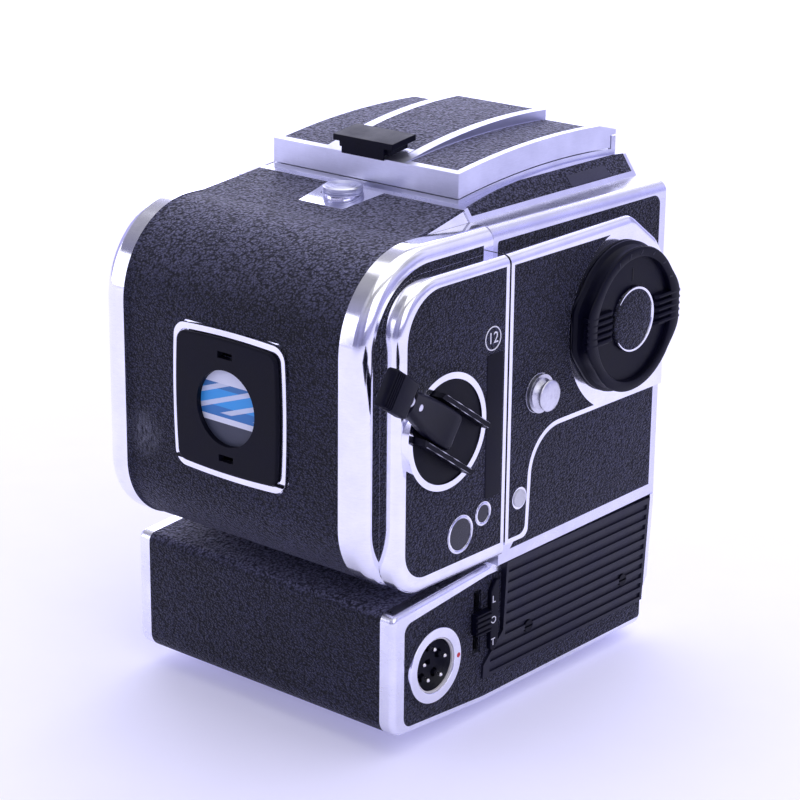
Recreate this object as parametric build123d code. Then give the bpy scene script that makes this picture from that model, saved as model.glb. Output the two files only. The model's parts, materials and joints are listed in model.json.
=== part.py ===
from build123d import *
import os
from math import atan2, cos, degrees, pi, radians, sin, sqrt, tan

# Medium format reflex camera with a motor base, a roll film magazine and a folding hood.
# Millimetres. Origin on the tripod thread's axis at the resting face; the lens side is -Y,
# the magazine is +Y, +Z is up, and the photographer's right hand side is -X.

# Overall layout
seam_y = 36.0            # joint face of body and magazine, behind the tripod thread
body_depth = 73.6        # seam to body front
half_width = 46.0        # body casting and magazine shell, half width
plate_t = 4.0            # tripod plate, which the camera stands on
base_h = 40.4            # height of the base under the body
body_h = 91.6            # base to the shoulder ledge of the body
gate = 56.0              # width of the opening to the film
wall = 2.4               # casting wall
leather = 0.6            # leatherette thickness
gap = 0.3                # clearance between parts that move past each other
film_set_back = 4.6      # film plane behind the seam
base_z = plate_t
body_z = base_z + base_h
front_y = seam_y - body_depth
ledge_z = base_h + body_h          # heights are above the base underside from here on
axis_z = body_z + 47.6             # optical axis above the resting face

# Tripod plate and motor base
plate_w = 44.0
plate_l = 50.0
plate_shift = 6.0        # plate centre behind the quarter inch thread
plate_screw_in = 5.0     # plate screws, from the plate's ends
thread_quarter_r = 3.175
thread_three_eighth_r = 4.7625
thread_pitch_y = 18.0
base_half_width = 46.9
base_rear = 39.0         # base reach behind the seam
base_rear_top = base_h - 3.8       # height of the base at its rear edge
base_kink = 1.6          # underside starts to rise here, behind the seam
base_rise = 2.2          # how far it rises at the rear edge
base_front_kink_h = 14.6
base_front_step = 1.2
base_border = 4.5        # chrome edges beside the rear leather
base_strip = 2.0         # chrome strip along the base's lower edge

# Gears, motor and lens drive
module = 1.0
pinion_teeth = 12
idler_teeth = 32
shaft_teeth = 10
gear_w = 4.0
gear_front = body_depth - 6.0      # front face of the gears, in front of the seam
gear_ease = 0.15         # added to each centre distance
gear_room = module * (idler_teeth / 2 + 1) + 2   # half width of the slot over the idler
bulkhead = gear_front - gear_w - 1.6             # front face of the wall behind the gears
bulkhead_t = 2.0
motor_r = 12.5
motor_l = 42.0
motor_x = 26.0
motor_z = base_h - 21.4
shaft_r = 2.4
shaft_z = base_h + 12.8

# Battery cover, bay and cells
cover_low = 7.4          # lower edge of the ribbed cover above the base underside
cover_high = base_h - 1.0
cover_rear_high = -5.6   # rear edge at the top and at the bottom, from the seam
cover_rear_low = 2.2
cover_front = 1.8        # chrome edge left in front of the cover
cover_proud_high = 1.9   # how far the cover stands out of the base side, top and bottom
cover_proud_low = 0.5
cover_seat = 1.6         # depth of the recess that the cover sits in
rib_count = 10
rib_pitch = (cover_high - 8.8) / rib_count
rib_w = 1.5
rib_h = 0.6
cover_screw_r = 1.7
cover_screw_y = (-body_depth + 12.3, -17.2)
cover_screw_z = 16.8
bay_front = bulkhead - 2.3         # battery bay, in front of the seam
bay_rear = 5.6
bay_low = 8.6
bay_high = base_h - 3.2
cell_r = (bay_high - bay_low - 1.8) / 3.773      # two rows of cells fill the bay's height
cell_l = bay_front - bay_rear - 4.1
bay_depth = 6 * cell_r + 4.4

# Lock lever, remote socket, release buttons
lock_plate_w = 6.2
lock_plate_h = 21.5
lock_plate_z = 24.6
lock_plate_y = -2.8
socket_y = 23.2
socket_z = 18.8
socket_r = 10.4
socket_bore_r = 7.6
release_x = 32.0
release_z = base_h - 18.4
release_r = 5.0

# Body casting
flare = 2.5              # each side stands out this much more at the front
ledge_r = 3.0
foot_x = half_width - 7.7          # foot of the leather shoulder
shoulder_slope = 55.0    # of the leather shoulder, degrees
arch_rear_z = ledge_z + 3.0        # arched top at the seam
arch_top_z = ledge_z + 6.9         # arched top at its crest
arch_crest = 47.0        # crest in front of the seam
side_low_x = half_width + 4.0      # half width of the lower side panels at the seam
panel_top_z = base_h + 34.6        # upper edge of the lower side panels
strip_h = 2.4            # chrome strip along the foot of the side panels
cover_x = half_width + 5.85        # outer face of the raised side covers
cover_top_z = ledge_z - 6.3        # upper edge of the raised covers
cover_bevel = 2.3        # radius of their upper edges
cover_bottom_z = base_h + 6.2
cover_nose = -body_depth + 1.6     # front end of the right cover
seam_gap = 0.35          # each raised cover stops this far from the seam
cover_border = 1.3       # chrome edge of the raised covers
panel_edge = -body_depth + 2.6     # front edge of the side leather, from the seam

# Mode dial, stud, signal disc on the right cover
dial_y = -body_depth + 25.4
dial_z = base_h + 59.1
dial_r = 20.9
collar_r = 26.0          # bare plate around the dial, its centre in front of the dial's
collar_y = dial_y - 3.7
collar_z = dial_z - 1.0
dial_h = 5.7
dial_recess_r = 17.2
dial_recess = 1.6
dial_cap_r = 8.6
grip_w = 9.5
stud_y = -13.2
stud_z = base_h + 45.5
stud_base_r = 5.4
stud_neck_r = 2.6
stud_cap_r = 4.0
stud_h = 4.6
signal_y = -6.1
signal_z = base_h + 17.9
signal_r = 2.45
rail_l = 46.0
rail_y = -36.0
rail_z = base_h + 59.6
rail_w = 13.0
rail_h = 3.6

# Lens mount
bayonet_r = half_width - 7.5
throat_r = bayonet_r - 8.0
bayonet_set = 3.3        # bayonet face behind the body front
panel_t = 2.0            # front panel
panel_half = half_width - 4.0
panel_low = base_h + 3.0
panel_high = ledge_z - 3.0
lens_wall = 3.6          # wall behind the front panel
lens_button_r = 3.4
lens_button_x = half_width - 12.5
lens_button_z = base_h + 14.1
lens_button_travel = 2.0
lens_stem_r = 2.0

# Mirror box, mirror, shutter doors and screen
box_half = gate / 2 + 3.0
box_t = 1.2
box_low = base_h + 20.2
box_high = ledge_z - 8.0
mirror_l = gate
mirror_w = gate - 2.0
mirror_t = 1.6
carrier_t = 1.0
mirror_hinge_y = -6.5
mirror_hinge_z = box_high - 4.5
hinge_pin_r = 0.8
door_w = gate + 2.0
door_t = 0.8
door_y = -3.5
upper_door_z = box_high - 7.8
lower_door_z = box_low + 1.0
door_l = (upper_door_z - lower_door_z) / 2 - 0.3
screen_t = 2.0
screen_half = gate / 2 + 1.5
screen_rear = 6.5        # ends of the screen's seat, in front of the seam
screen_front = body_depth - 7.6

# Folding hood
hood_half = screen_half + 3.1
hood_rear = -2.0
hood_front = -body_depth + 2.6
hood_side_h = 1.3        # fixed frame below the lid
lid_skirt_h = 6.6        # outer height of the lid's side
hood_t = 1.0
flap_t = 0.5
flap_h = 26.0
panel_rise = 2.7         # the lid's middle swells by this much towards its front end
panel_half_rear = 12.6
panel_half_front = 14.8
lid_axis_y = hood_front + 0.6
lid_axis_z = arch_top_z + 3.0      # lid pivot
lid_front_z = lid_axis_z + 2.5     # top of the lid at its front edge
panel_front = hood_front + 11.0    # front end of the lid's raised middle
flap_z = lid_axis_z - 1.3
magnifier_r = 12.5
magnifier_half = 15.0
magnifier_t = 2.6
magnifier_y = hood_rear - 39.0
magnifier_z = lid_axis_z + 0.7
catch_w = 21.0
catch_rear = -1.5
catch_l = 9.6
catch_lift = 2.8         # underside of the catch plate above the lid

# Magazine
mag_depth = 48.6         # casting behind the seam, under the leather
mag_bottom_z = base_h + 2.4
mag_top_z = ledge_z
mag_top_r = 24.0
mag_bottom_r = 18.0
mag_peak_z = arch_rear_z - 0.4     # leather-covered top at the seam
mag_rim_x = foot_x - 0.2           # inner edge of the chrome rims
mag_rim_rise = 1.9       # rims stand out of the casting under the leather
mag_rim_r = 3.6
mag_wall = 2.0
cover_rear = mag_depth - 4.8       # rear end of the raised right cover
cover_foot_z = mag_bottom_z + 0.7
crank_y = mag_depth - 21.6
crank_z = base_h + 45.4
crank_r = 15.4
crank_disc_h = 2.2
crank_fin_h = 4.0
heel_r = 2.1
crank_angle = 34.0       # stowed arm, above the level towards the rear
crank_pivot = 3.0        # fold pivot beyond the disc's axis
crank_arm_l = 23.0
fin_half = 5.6           # half the slot between the fins
knob_l = 10.5
counter_y = 18.5
counter_z = base_h + 14.8
counter_r = 4.3
wound_y = 9.2
wound_z = signal_z
wound_r = 2.4
card_z = base_h + 45.6
card_frame_half = 20.2   # at the middle of its bowed sides
card_plate_half = 18.3
card_bow = 0.7
card_w = 28.0
card_h = 25.2
card_plate_t = 2.0
card_window_r = 10.3
card_slot_z = 14.0       # number windows above and below the card's middle
catch_y = 6.2
catch_r = 5.3
mag_catch_travel = 4.0
slide_t = 0.5
slide_y = 1.1
slide_w = gate + 8.0
spool_r = 3.9
flange_r = 12.2
roll_r = 10.0
spool_l = gate + 6.0
supply_z = base_h + 18.0
takeup_z = mag_top_z - 19.0
spool_y = mag_depth - 20.6
key_r = 11.0
key_y = mag_depth - 24.6
parts = {}


def at(y, z):
    """A point given from the seam and from the base underside."""
    return (seam_y + y, base_z + z)


def outline(points):
    """A closed face through (u, v) or (u, v, corner radius) points."""
    face = make_face(Polyline([p[:2] for p in points], close=True))
    for point in points:
        if len(point) == 3 and point[2] > 0:
            corner = face.vertices().sort_by_distance((point[0], point[1], 0))[0]
            face = fillet(corner, point[2])
    return face


def along_x(face, x0, x1):
    """A side view face (y, z) filled from x0 to x1."""
    return extrude(Plane.YZ.offset(min(x0, x1)) * face, amount=abs(x1 - x0))


def along_y(face, y0, y1):
    """A front view face (x, z) filled from y0 to y1."""
    return extrude(Plane.XZ.offset(-max(y0, y1)) * face, amount=abs(y1 - y0))


def along_z(face, z0, z1):
    """A plan face (x, y) filled from z0 to z1."""
    return extrude(Plane.XY.offset(min(z0, z1)) * face, amount=abs(z1 - z0))


def block(x0, x1, y0, y1, z0, z1):
    """A box between two corners."""
    size = (abs(x1 - x0), abs(y1 - y0), abs(z1 - z0))
    return Pos((x0 + x1) / 2, (y0 + y1) / 2, (z0 + z1) / 2) * Box(*size)


def rod_x(y, z, r, x0, x1):
    return Pos((x0 + x1) / 2, y, z) * Rot(0, 90, 0) * Cylinder(r, abs(x1 - x0))


def rod_y(x, z, r, y0, y1):
    return Pos(x, (y0 + y1) / 2, z) * Rot(90, 0, 0) * Cylinder(r, abs(y1 - y0))


def rod_z(x, y, r, z0, z1):
    return Pos(x, y, (z0 + z1) / 2) * Cylinder(r, abs(z1 - z0))


def mirror_x(shape):
    return mirror(shape, about=Plane.YZ)


def keep(name, *shapes):
    """File a sub-part under its node name."""
    solids = [s for shape in shapes for s in shape.solids()]
    parts[name] = solids[0] if len(solids) == 1 else Compound(children=solids)
    return parts[name]


def gear_face(teeth, phase):
    """A spur gear's outline with straight flanks and ample backlash."""
    pitch_r = module * teeth / 2
    tip_r, root_r = pitch_r + 0.9 * module, pitch_r - 1.2 * module
    tip_half, root_half = 0.32 * module / tip_r, 1.0 * module / root_r
    points = []
    for k in range(teeth):
        mid = radians(phase) + 2 * pi * k / teeth
        for r, a in ((root_r, -root_half), (tip_r, -tip_half), (tip_r, tip_half), (root_r, root_half)):
            points.append((r * cos(mid + a), r * sin(mid + a)))
    return make_face(Polyline(points, close=True))


def arch_arc(lift, y0, y1, swell=0.0):
    """The arched top's side view curve, lifted, between two distances from the seam."""
    reach = arch_crest
    radius = reach ** 2 / (2 * (arch_top_z - arch_rear_z)) + (arch_top_z - arch_rear_z) / 2

    def height(y):
        along = (hood_rear - y) / (hood_rear - panel_front)
        return arch_top_z + lift - radius + sqrt(radius ** 2 - (y + arch_crest) ** 2) + (
            swell * along * (2 - along))

    mid = (y0 + y1) / 2
    return [at(y, height(y)) for y in (y0, mid, y1)]


def arch_strip(low, high, y0, y1):
    """Side view face between the arched top lifted by low and by high."""
    a, b, c = arch_arc(low, y0, y1)
    d, e, f = arch_arc(high, y0, y1)
    return make_face([ThreePointArc(a, b, c), Line(c, f), ThreePointArc(f, e, d), Line(d, a)])


def arch_body(depth, y0, y1):
    """Side view face from a level underside up to the arched top."""
    a, b, c = arch_arc(0, y0, y1)
    return make_face([ThreePointArc(a, b, c), Line(c, (c[0], base_z + depth)),
                      Line((c[0], base_z + depth), (a[0], base_z + depth)),
                      Line((a[0], base_z + depth), a)])


def base_profile():
    """Side view of the motor base."""
    front = -body_depth
    return outline([
        (*at(front + base_front_step, 0), 2.0), at(base_kink, 0), (*at(base_rear, base_rise), 5.0),
        (*at(base_rear, base_rear_top), 2.5), at(0, base_h - 0.8), at(-0.8, base_h),
        at(front, base_h), at(front + base_front_step, base_front_kink_h)])


def cover_outline(inset):
    """Side view of the ribbed battery cover."""
    front = -body_depth + cover_front
    return outline([
        at(front + inset, cover_low + inset), at(cover_rear_low - inset, cover_low + inset),
        at(cover_rear_low - inset, cover_low + 4), at(cover_rear_high - inset, cover_low + 12),
        at(cover_rear_high - inset, cover_high - inset), at(front + inset, cover_high - inset)])


def side_wedge(face, seat, reach):
    """Fill a side view face from x = seat out to the slanted face of the battery cover."""
    slab = along_x(face, seat, -base_half_width - reach)
    low, high = base_z + cover_low, base_z + cover_high
    x_low, x_high = -base_half_width - cover_proud_low, -base_half_width - cover_proud_high
    rise = (x_high - x_low) / (high - low)
    below, above = low - 20, high + 20
    cutter = outline([
        (0, below), (x_low + rise * (below - low), below), (x_low + rise * (above - low), above),
        (0, above)])
    return slab & along_y(cutter, front_y - 5, seam_y + 20)


def gear_centres():
    """Front view centres of the pinion, the idler and the lens drive shaft."""
    pinion = (motor_x, base_z + motor_z)
    shaft = (0.0, base_z + shaft_z)
    near = module * (pinion_teeth + idler_teeth) / 2 + gear_ease
    far = module * (idler_teeth + shaft_teeth) / 2 + gear_ease
    dx, dz = shaft[0] - pinion[0], shaft[1] - pinion[1]
    span = sqrt(dx * dx + dz * dz)
    along = (near ** 2 - far ** 2 + span ** 2) / (2 * span)
    aside = sqrt(near ** 2 - along ** 2)
    idler = (pinion[0] + along * dx / span + aside * dz / span,
             pinion[1] + along * dz / span - aside * dx / span)
    return pinion, idler, shaft


def bearing(a, b):
    return degrees(atan2(b[1] - a[1], b[0] - a[0]))


def tripod_plate():
    """Coupling plate with a quarter inch and a three eighths inch thread, each in a boss."""
    rear, front = plate_shift + plate_l / 2, plate_shift - plate_l / 2
    plate = block(-plate_w / 2, plate_w / 2, front, rear, 0, plate_t)
    screw_x, screw_y = plate_w / 2 - plate_screw_in - 1, (front + plate_screw_in, rear - plate_screw_in)
    plate = fillet(plate.edges().filter_by(Axis.Z), 3)
    plate = chamfer(plate.faces().sort_by(Axis.Z)[0].edges(), 0.6)
    boss_top = base_z + wall + 2
    for y, r in ((0, thread_quarter_r), (thread_pitch_y, thread_three_eighth_r)):
        plate += rod_z(0, y, r + 3, plate_t - 1, boss_top)
    for y, r in ((0, thread_quarter_r), (thread_pitch_y, thread_three_eighth_r)):
        plate -= rod_z(0, y, r, -1, boss_top + 1)
    for x in (-screw_x, screw_x):
        for y in screw_y:
            plate -= rod_z(x, y, 1.6, -1, plate_t + 1)
            plate -= rod_z(x, y, 2.8, -1, 1.5)
    keep("tripod_plate", plate)
    screws = []
    for x in (-screw_x, screw_x):
        for y in screw_y:
            head = rod_z(x, y, 2.7, 0.3, 1.5)
            head -= block(x - 2.4, x + 2.4, y - 0.35, y + 0.35, 0.2, 0.9)
            screws.append(head + rod_z(x, y, 1.5, 1.4, base_z + wall))
    keep("tripod_plate_screws", *screws)
    return [(x, y) for x in (-screw_x, screw_x) for y in screw_y]


def base_casting(screws, skins):
    """Hollow motor base with its battery bay, bulkhead and front button bores."""
    pinion, idler, shaft = gear_centres()
    solid = along_x(base_profile(), -base_half_width, base_half_width)
    sides = solid.faces().sort_by(Axis.X)
    solid = fillet(sides[0].edges() + sides[-1].edges(), 1.6)
    solid += side_wedge(outline([
        at(-body_depth + 0.1, base_front_kink_h), at(-body_depth + cover_front, cover_low + 4),
        at(-body_depth + cover_front, base_h), at(-body_depth + 0.1, base_h)]),
        -base_half_width + 2, 3)
    inner = offset(base_profile(), -wall)
    solid -= along_x(inner, -base_half_width + wall, base_half_width - wall)
    face = seam_y - bulkhead
    solid += block(-14, base_half_width - wall, face, face + bulkhead_t, base_z + 1, body_z - 1)
    solid -= rod_y(*pinion, 3.2, face - 2, face + bulkhead_t + 2)
    solid -= block(idler[0] - gear_room, idler[0] + gear_room, seam_y - gear_front - 0.8,
                   seam_y - gear_front + gear_w + 0.8, body_z - 4, body_z + 1)
    solid += rod_y(*idler, 1.5, face + bulkhead_t / 2, seam_y - gear_front)
    solid -= side_wedge(cover_outline(-gap / 2), -base_half_width + cover_seat, 4)
    solid -= block(-base_half_width - 1, -base_half_width + wall + 2, seam_y - bay_front,
                   seam_y - bay_rear, base_z + bay_low, base_z + bay_high)
    solid -= rod_x(*at(socket_y, socket_z), socket_r + 0.05, -base_half_width - 1,
                   -base_half_width + wall + 1)
    solid -= lever_slot()
    for side in (-1, 1):
        solid -= rod_y(side * release_x, base_z + release_z, release_r - 1 + 0.05, front_y - 1,
                       front_y + wall + 3)
    for y, r in ((0, thread_quarter_r), (thread_pitch_y, thread_three_eighth_r)):
        solid -= rod_z(0, y, r + 3.05, base_z - 1, base_z + wall + 1)
    for x, y in screws:
        solid -= rod_z(x, y, 1.55, base_z - 1, base_z + wall + 1)
    for skin in skins:
        solid -= skin
    keep("base_casting", solid)


def base_side_panel(front, strip):
    """Side view face of the leather on a side of the base."""
    return outline([
        (*at(-body_depth + front, strip), 1), at(base_kink, strip),
        (*at(base_rear - base_border, base_rise + strip), 3),
        (*at(base_rear - base_border, base_rear_top - 3.4), 3), at(0.6, base_h - 3.4),
        (*at(-body_depth + front, base_h - 3.4), 1)])


def base_skins():
    """Leatherette that lies flush in the base: both sides, and one piece from top to rear."""
    x = base_half_width
    right = along_x(base_side_panel(base_front_step + 0.8, base_strip), -x, -x + leather)
    right -= side_wedge(cover_outline(-gap / 2), -x + cover_seat, 4)
    right -= rod_x(*at(socket_y, socket_z), socket_r + 0.05, -x - 1, -x + 1)
    right -= lever_slot()
    right = right.solids().sort_by(SortBy.VOLUME)[-1]
    left = along_x(base_side_panel(base_border, base_strip + 1.4), x - leather, x)
    half = x - base_border
    wrap = along_x(base_profile(), -half, half) - along_x(offset(base_profile(), -leather), -x, x)
    wrap &= (block(-x, x, seam_y + 0.6, seam_y + base_rear + 1, base_z + base_rear_top - 3, body_z + 1)
             + block(-x, x, seam_y + base_rear - 6, seam_y + base_rear + 1, base_z, body_z))
    keep("base_leather", right, left, wrap)
    return [right, left, wrap]


def lever_slot():
    """Slot in the base's right side that the lock lever runs in."""
    x = -base_half_width
    return block(x - 1, x + wall + 1, seam_y + 3.0, seam_y + 6.2,
                 base_z + lock_plate_z - lock_plate_h / 2 + 1.5,
                 base_z + lock_plate_z + lock_plate_h / 2 - 1.5)


def battery_drawer():
    """Ribbed cover, its screws, the tray behind it and the five cells."""
    skin = side_wedge(cover_outline(0), -base_half_width + cover_seat, 4)
    screw_z = base_z + cover_screw_z
    for k in range(rib_count):
        z = base_z + cover_high - 2.6 - k * rib_pitch
        inward = base_half_width + cover_proud_high - rib_h
        share = (cover_high - 2.6 - k * rib_pitch - cover_low) / (cover_high - cover_low)
        x = -base_half_width - cover_proud_low - share * (cover_proud_high - cover_proud_low)
        rear = cover_rear_high if z > base_z + cover_low + 10 else cover_rear_high + 6
        groove = block(x - 1, x + rib_h, front_y + cover_front + 1, seam_y + rear - 1,
                       z - (rib_pitch - rib_w) / 2, z + (rib_pitch - rib_w) / 2)
        skin -= groove
    screws = []
    out = -base_half_width - cover_proud_low
    for y in [seam_y + y for y in cover_screw_y]:
        skin -= rod_x(y, screw_z, cover_screw_r + 0.1, out - 3, out + 0.6)
        skin -= rod_x(y, screw_z, cover_screw_r - 0.6, out - 3, -base_half_width + 3)
        head = rod_x(y, screw_z, cover_screw_r, out - 0.4, out + 0.6)
        head -= block(out - 1, out + 0.1, y - 2, y + 2, screw_z - 0.3, screw_z + 0.3)
        screws.append(head + rod_x(y, screw_z, cover_screw_r - 0.7, out + 0.5,
                                   -base_half_width + cover_seat))
    keep("battery_cover", skin)
    keep("battery_cover_screws", *screws)
    x0, x1 = -base_half_width + cover_seat, -base_half_width + cover_seat + bay_depth
    y0, y1 = seam_y - bay_front + gap, seam_y - bay_rear - gap
    z0, z1 = base_z + bay_low + gap, base_z + bay_high - gap
    tray = block(x0, x1, y0, y1, z0, z1) - block(x0 - 1, x1 + 1, y0 + 1.2, y1 - 1.2, z0 + 0.8, z1 + 1)
    tray += block(x0, x0 + 1.2, y0, y1, z0, z1) + block(x1 - 1.2, x1, y0, y1, z0, z1)
    low_z = z0 + 0.8 + cell_r
    high_z = low_z + 2 * cell_r * 0.886
    first = x0 + 1.2 + cell_r + 0.15
    cells = []
    for row, count, shift in ((low_z, 3, 0.0), (high_z, 2, cell_r + 0.1)):
        for k in range(count):
            x = first + shift + k * (2 * cell_r + 0.25)
            body = rod_y(x, row + 0.05, cell_r, y0 + 1.9, y0 + 1.9 + cell_l - 1.2)
            cells.append(body + rod_y(x, row + 0.05, 2.6, y0 + 1.9 + cell_l - 1.3, y0 + 1.9 + cell_l))
            tray += rod_y(x, row, 3.6, y0 + 1.0, y0 + 1.8)
    keep("battery_tray", tray)
    keep("battery_cells", *cells)


def lock_parts():
    """Release lock: engraved plate and the lever that slides beside it."""
    x = -base_half_width
    low, high = base_z + lock_plate_z - lock_plate_h / 2, base_z + lock_plate_z + lock_plate_h / 2
    rear = seam_y + lock_plate_y + lock_plate_w / 2
    plate = along_x(outline([
        (rear, low + 2), (rear - 2.4, low), (rear - lock_plate_w + 2.9, low),
        (rear - lock_plate_w + 2.9, high), (rear - 2.0, high), (rear, high - 3)]), x, x - 1.4)
    plate -= along_x(cover_outline(-gap), x + 1, x - 3)
    keep("lock_plate", plate)
    z = base_z + lock_plate_z + 0.4
    knob = block(x - 2.6, x - gap, seam_y + 1.2, seam_y + 7.4, z - 3, z + 3)
    for k in range(4):
        knob -= block(x - 3, x - 2.1, seam_y + 1.0, seam_y + 7.6, z - 2.5 + k * 1.5, z - 1.9 + k * 1.5)
    stem = block(x - 1, x + wall + 1.4, seam_y + 3.3, seam_y + 5.9, z - 1.4, z + 1.4)
    back = block(x + wall + gap, x + wall + 1.4, seam_y + 1.6, seam_y + 7.6, z - 2.4, z + 2.4)
    keep("lock_lever", knob + stem + back)


def remote_socket():
    """Round cable socket: chrome ring, insulator with five contacts."""
    y, z = at(socket_y, socket_z)
    x = -base_half_width
    ring = rod_x(y, z, socket_r, x - 1.5, x + wall + 0.6)
    ring += rod_x(y, z, socket_r + 1.8, x + wall, x + wall + 1.2)
    ring -= rod_x(y, z, socket_bore_r, x - 2, x + wall + 3)
    keep("remote_socket_ring", ring)
    core = rod_x(y, z, socket_bore_r - 0.03, x + 1.6, x + wall + 1.2)
    core += rod_x(y, z, socket_r, x + wall + 1.2, x + wall + 4)
    core -= block(x + 1, x + 3.0, y - 1.1, y + 1.1, z - 0.8, z + 0.8)
    for k in range(5):
        a = radians(90 + 72 * k)
        core -= rod_x(y + 4.4 * cos(a), z + 4.4 * sin(a), 1.3, x + 1, x + 2.6)
        core += rod_x(y + 4.4 * cos(a), z + 4.4 * sin(a), 0.6, x + 0.9, x + 2.8)
    keep("remote_socket_core", core)


def release_buttons():
    """Two front release buttons with a cable thread in each."""
    for name, side in (("right", -1), ("left", 1)):
        x, z = side * release_x, base_z + release_z
        front = front_y + base_front_step * 0.6
        button = rod_y(x, z, release_r, front - 3.4, front - 1.8)
        button += rod_y(x, z, release_r - 1, front - 2, front_y + wall + 1.6)
        button += rod_y(x, z, release_r + 0.4, front_y + wall + 1.2, front_y + wall + 2.0)
        button -= rod_y(x, z, 1.6, front - 4, front + 2)
        keep("release_button_" + name, button)


def drive_train():
    """Motor, pinion, idler gear and the shaft that winds the lens."""
    pinion, idler, shaft = gear_centres()
    face = seam_y - bulkhead + bulkhead_t
    motor = rod_y(*pinion, motor_r, face, face + motor_l) + rod_y(*pinion, 3.1, face - 2, face + 1)
    motor += rod_y(*pinion, 8, face + motor_l - 0.5, face + motor_l + 2)
    motor -= rod_y(*pinion, 1.05, face - 3, face + 4)
    keep("motor", motor)
    front, back = seam_y - gear_front, seam_y - gear_front + gear_w
    toward = bearing(pinion, idler)
    idler_phase = toward + 180 + 180 / idler_teeth
    on = bearing(idler, shaft)
    shaft_phase = on + 180 - (idler_phase - on) * idler_teeth / shaft_teeth + 180 / shaft_teeth
    wheel = Pos(pinion[0], 0, pinion[1]) * along_y(gear_face(pinion_teeth, toward), front, back)
    keep("motor_pinion", wheel + rod_y(*pinion, 1.0, front, face + 3))
    wheel = Pos(idler[0], 0, idler[1]) * along_y(gear_face(idler_teeth, idler_phase), front + 0.2, back)
    wheel -= rod_y(*idler, 1.55, front - 1, back + 1)
    for k in range(5):
        a = radians(72 * k)
        wheel -= rod_y(idler[0] + 9 * cos(a), idler[1] + 9 * sin(a), 2.6, front - 1, back + 1)
    keep("idler_gear", wheel)
    wheel = Pos(shaft[0], 0, shaft[1]) * along_y(gear_face(shaft_teeth, shaft_phase), front + 0.2, back)
    flange = front_y + bayonet_set
    wheel += rod_y(*shaft, shaft_r, flange - 1.2, back + 2.5)
    wheel -= block(-0.5, 0.5, flange - 2, flange, shaft[1] - 3, shaft[1] + 3)
    keep("lens_drive_shaft", wheel)


def body_block(inset, low, high):
    """The flared body, with its side faces moved in by inset."""
    rear, front = half_width - inset, half_width + flare - inset
    plan = outline([(-rear, seam_y), (rear, seam_y), (front, front_y), (-front, front_y)])
    return along_z(plan, base_z + low, base_z + high)


def low_block(inset):
    """The thicker lower part of the body's sides, which narrows towards the front."""
    rear, front = side_low_x - inset, half_width + flare + 0.1 - inset
    plan = outline([(-rear, seam_y), (rear, seam_y), (front, front_y), (-front, front_y)])
    return along_z(plan, body_z, base_z + panel_top_z)


def shoulder_block(inset):
    """The arched middle of the body top with its sloping shoulders."""
    rise = arch_top_z - ledge_z + 1
    foot, top = foot_x - inset, foot_x - inset - rise / tan(radians(shoulder_slope))
    section = outline([
        (-foot, base_z + ledge_z - 3), (foot, base_z + ledge_z - 3), (foot, base_z + ledge_z),
        (top, base_z + ledge_z + rise), (-top, base_z + ledge_z + rise), (-foot, base_z + ledge_z)])
    side = along_x(arch_body(ledge_z - 2, 0, -body_depth), -foot_x - 1, foot_x + 1)
    return side & along_y(section, front_y - 1, seam_y + 1)


def side_cover_outline(inset):
    """Side view of the raised right cover, which reaches forward round the mode dial."""
    d, rear = inset, -seam_gap - inset
    return outline([
        at(rear, cover_bottom_z + d), (*at(-10.0 + d, cover_bottom_z + d), 2.5),
        (*at(-11.4 + d, panel_top_z + d), 12.0 + d), at(cover_nose + d, panel_top_z + d),
        (*at(cover_nose + d, cover_top_z - 16), 5), (*at(cover_nose + d + 6, cover_top_z - 7.8), 8),
        (*at(dial_y - 6, cover_top_z + 0.8 - d), 7), at(rear, cover_top_z - d)])


def left_cover_outline(inset):
    """Side view of the raised left cover."""
    d, rear, front = inset, -seam_gap - inset, -body_depth + 11.6
    high = cover_top_z if d == 0 else cover_top_z - cover_bevel - 0.4
    return outline([
        at(rear, cover_bottom_z + d), (*at(-10.0 + d, cover_bottom_z + d), 2.5),
        (*at(-11.4 + d, panel_top_z + d), 12.0 + d), (*at(front + 2 * d, panel_top_z + d), 4.0),
        (*at(front + 2 * d, high), 4.0), at(rear, high)])


def body_shell():
    """The body's outer shape before its pockets are cut."""
    solid = body_block(0, base_h, ledge_z)
    edges = [e for e in solid.edges().group_by(Axis.Z)[-1] if abs(e.center().X) > foot_x]
    solid = fillet(edges, ledge_r)
    return solid + low_block(0) + shoulder_block(0)


def side_regions():
    """Side view faces of the leather panels beside the raised covers."""
    upper = outline([
        at(-1.8, cover_top_z - 3), (*at(-1.8, ledge_z - mag_rim_r - 0.3), 0.8),
        (*at(panel_edge, ledge_z - 3.2), 3.0),
        at(panel_edge, panel_top_z + 0.4), at(dial_y + 8, panel_top_z + 0.4),
        at(dial_y + 8, cover_top_z - 3)])
    lower = outline([
        at(-5.0, base_h + strip_h + 0.9), (*at(-9.0, base_h + strip_h + 5.0), 2.0),
        (*at(-12.6, panel_top_z - 1.3), 10.5), at(panel_edge, panel_top_z - 1.3),
        at(panel_edge, base_h + strip_h + 0.9)])
    return upper, lower


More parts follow.
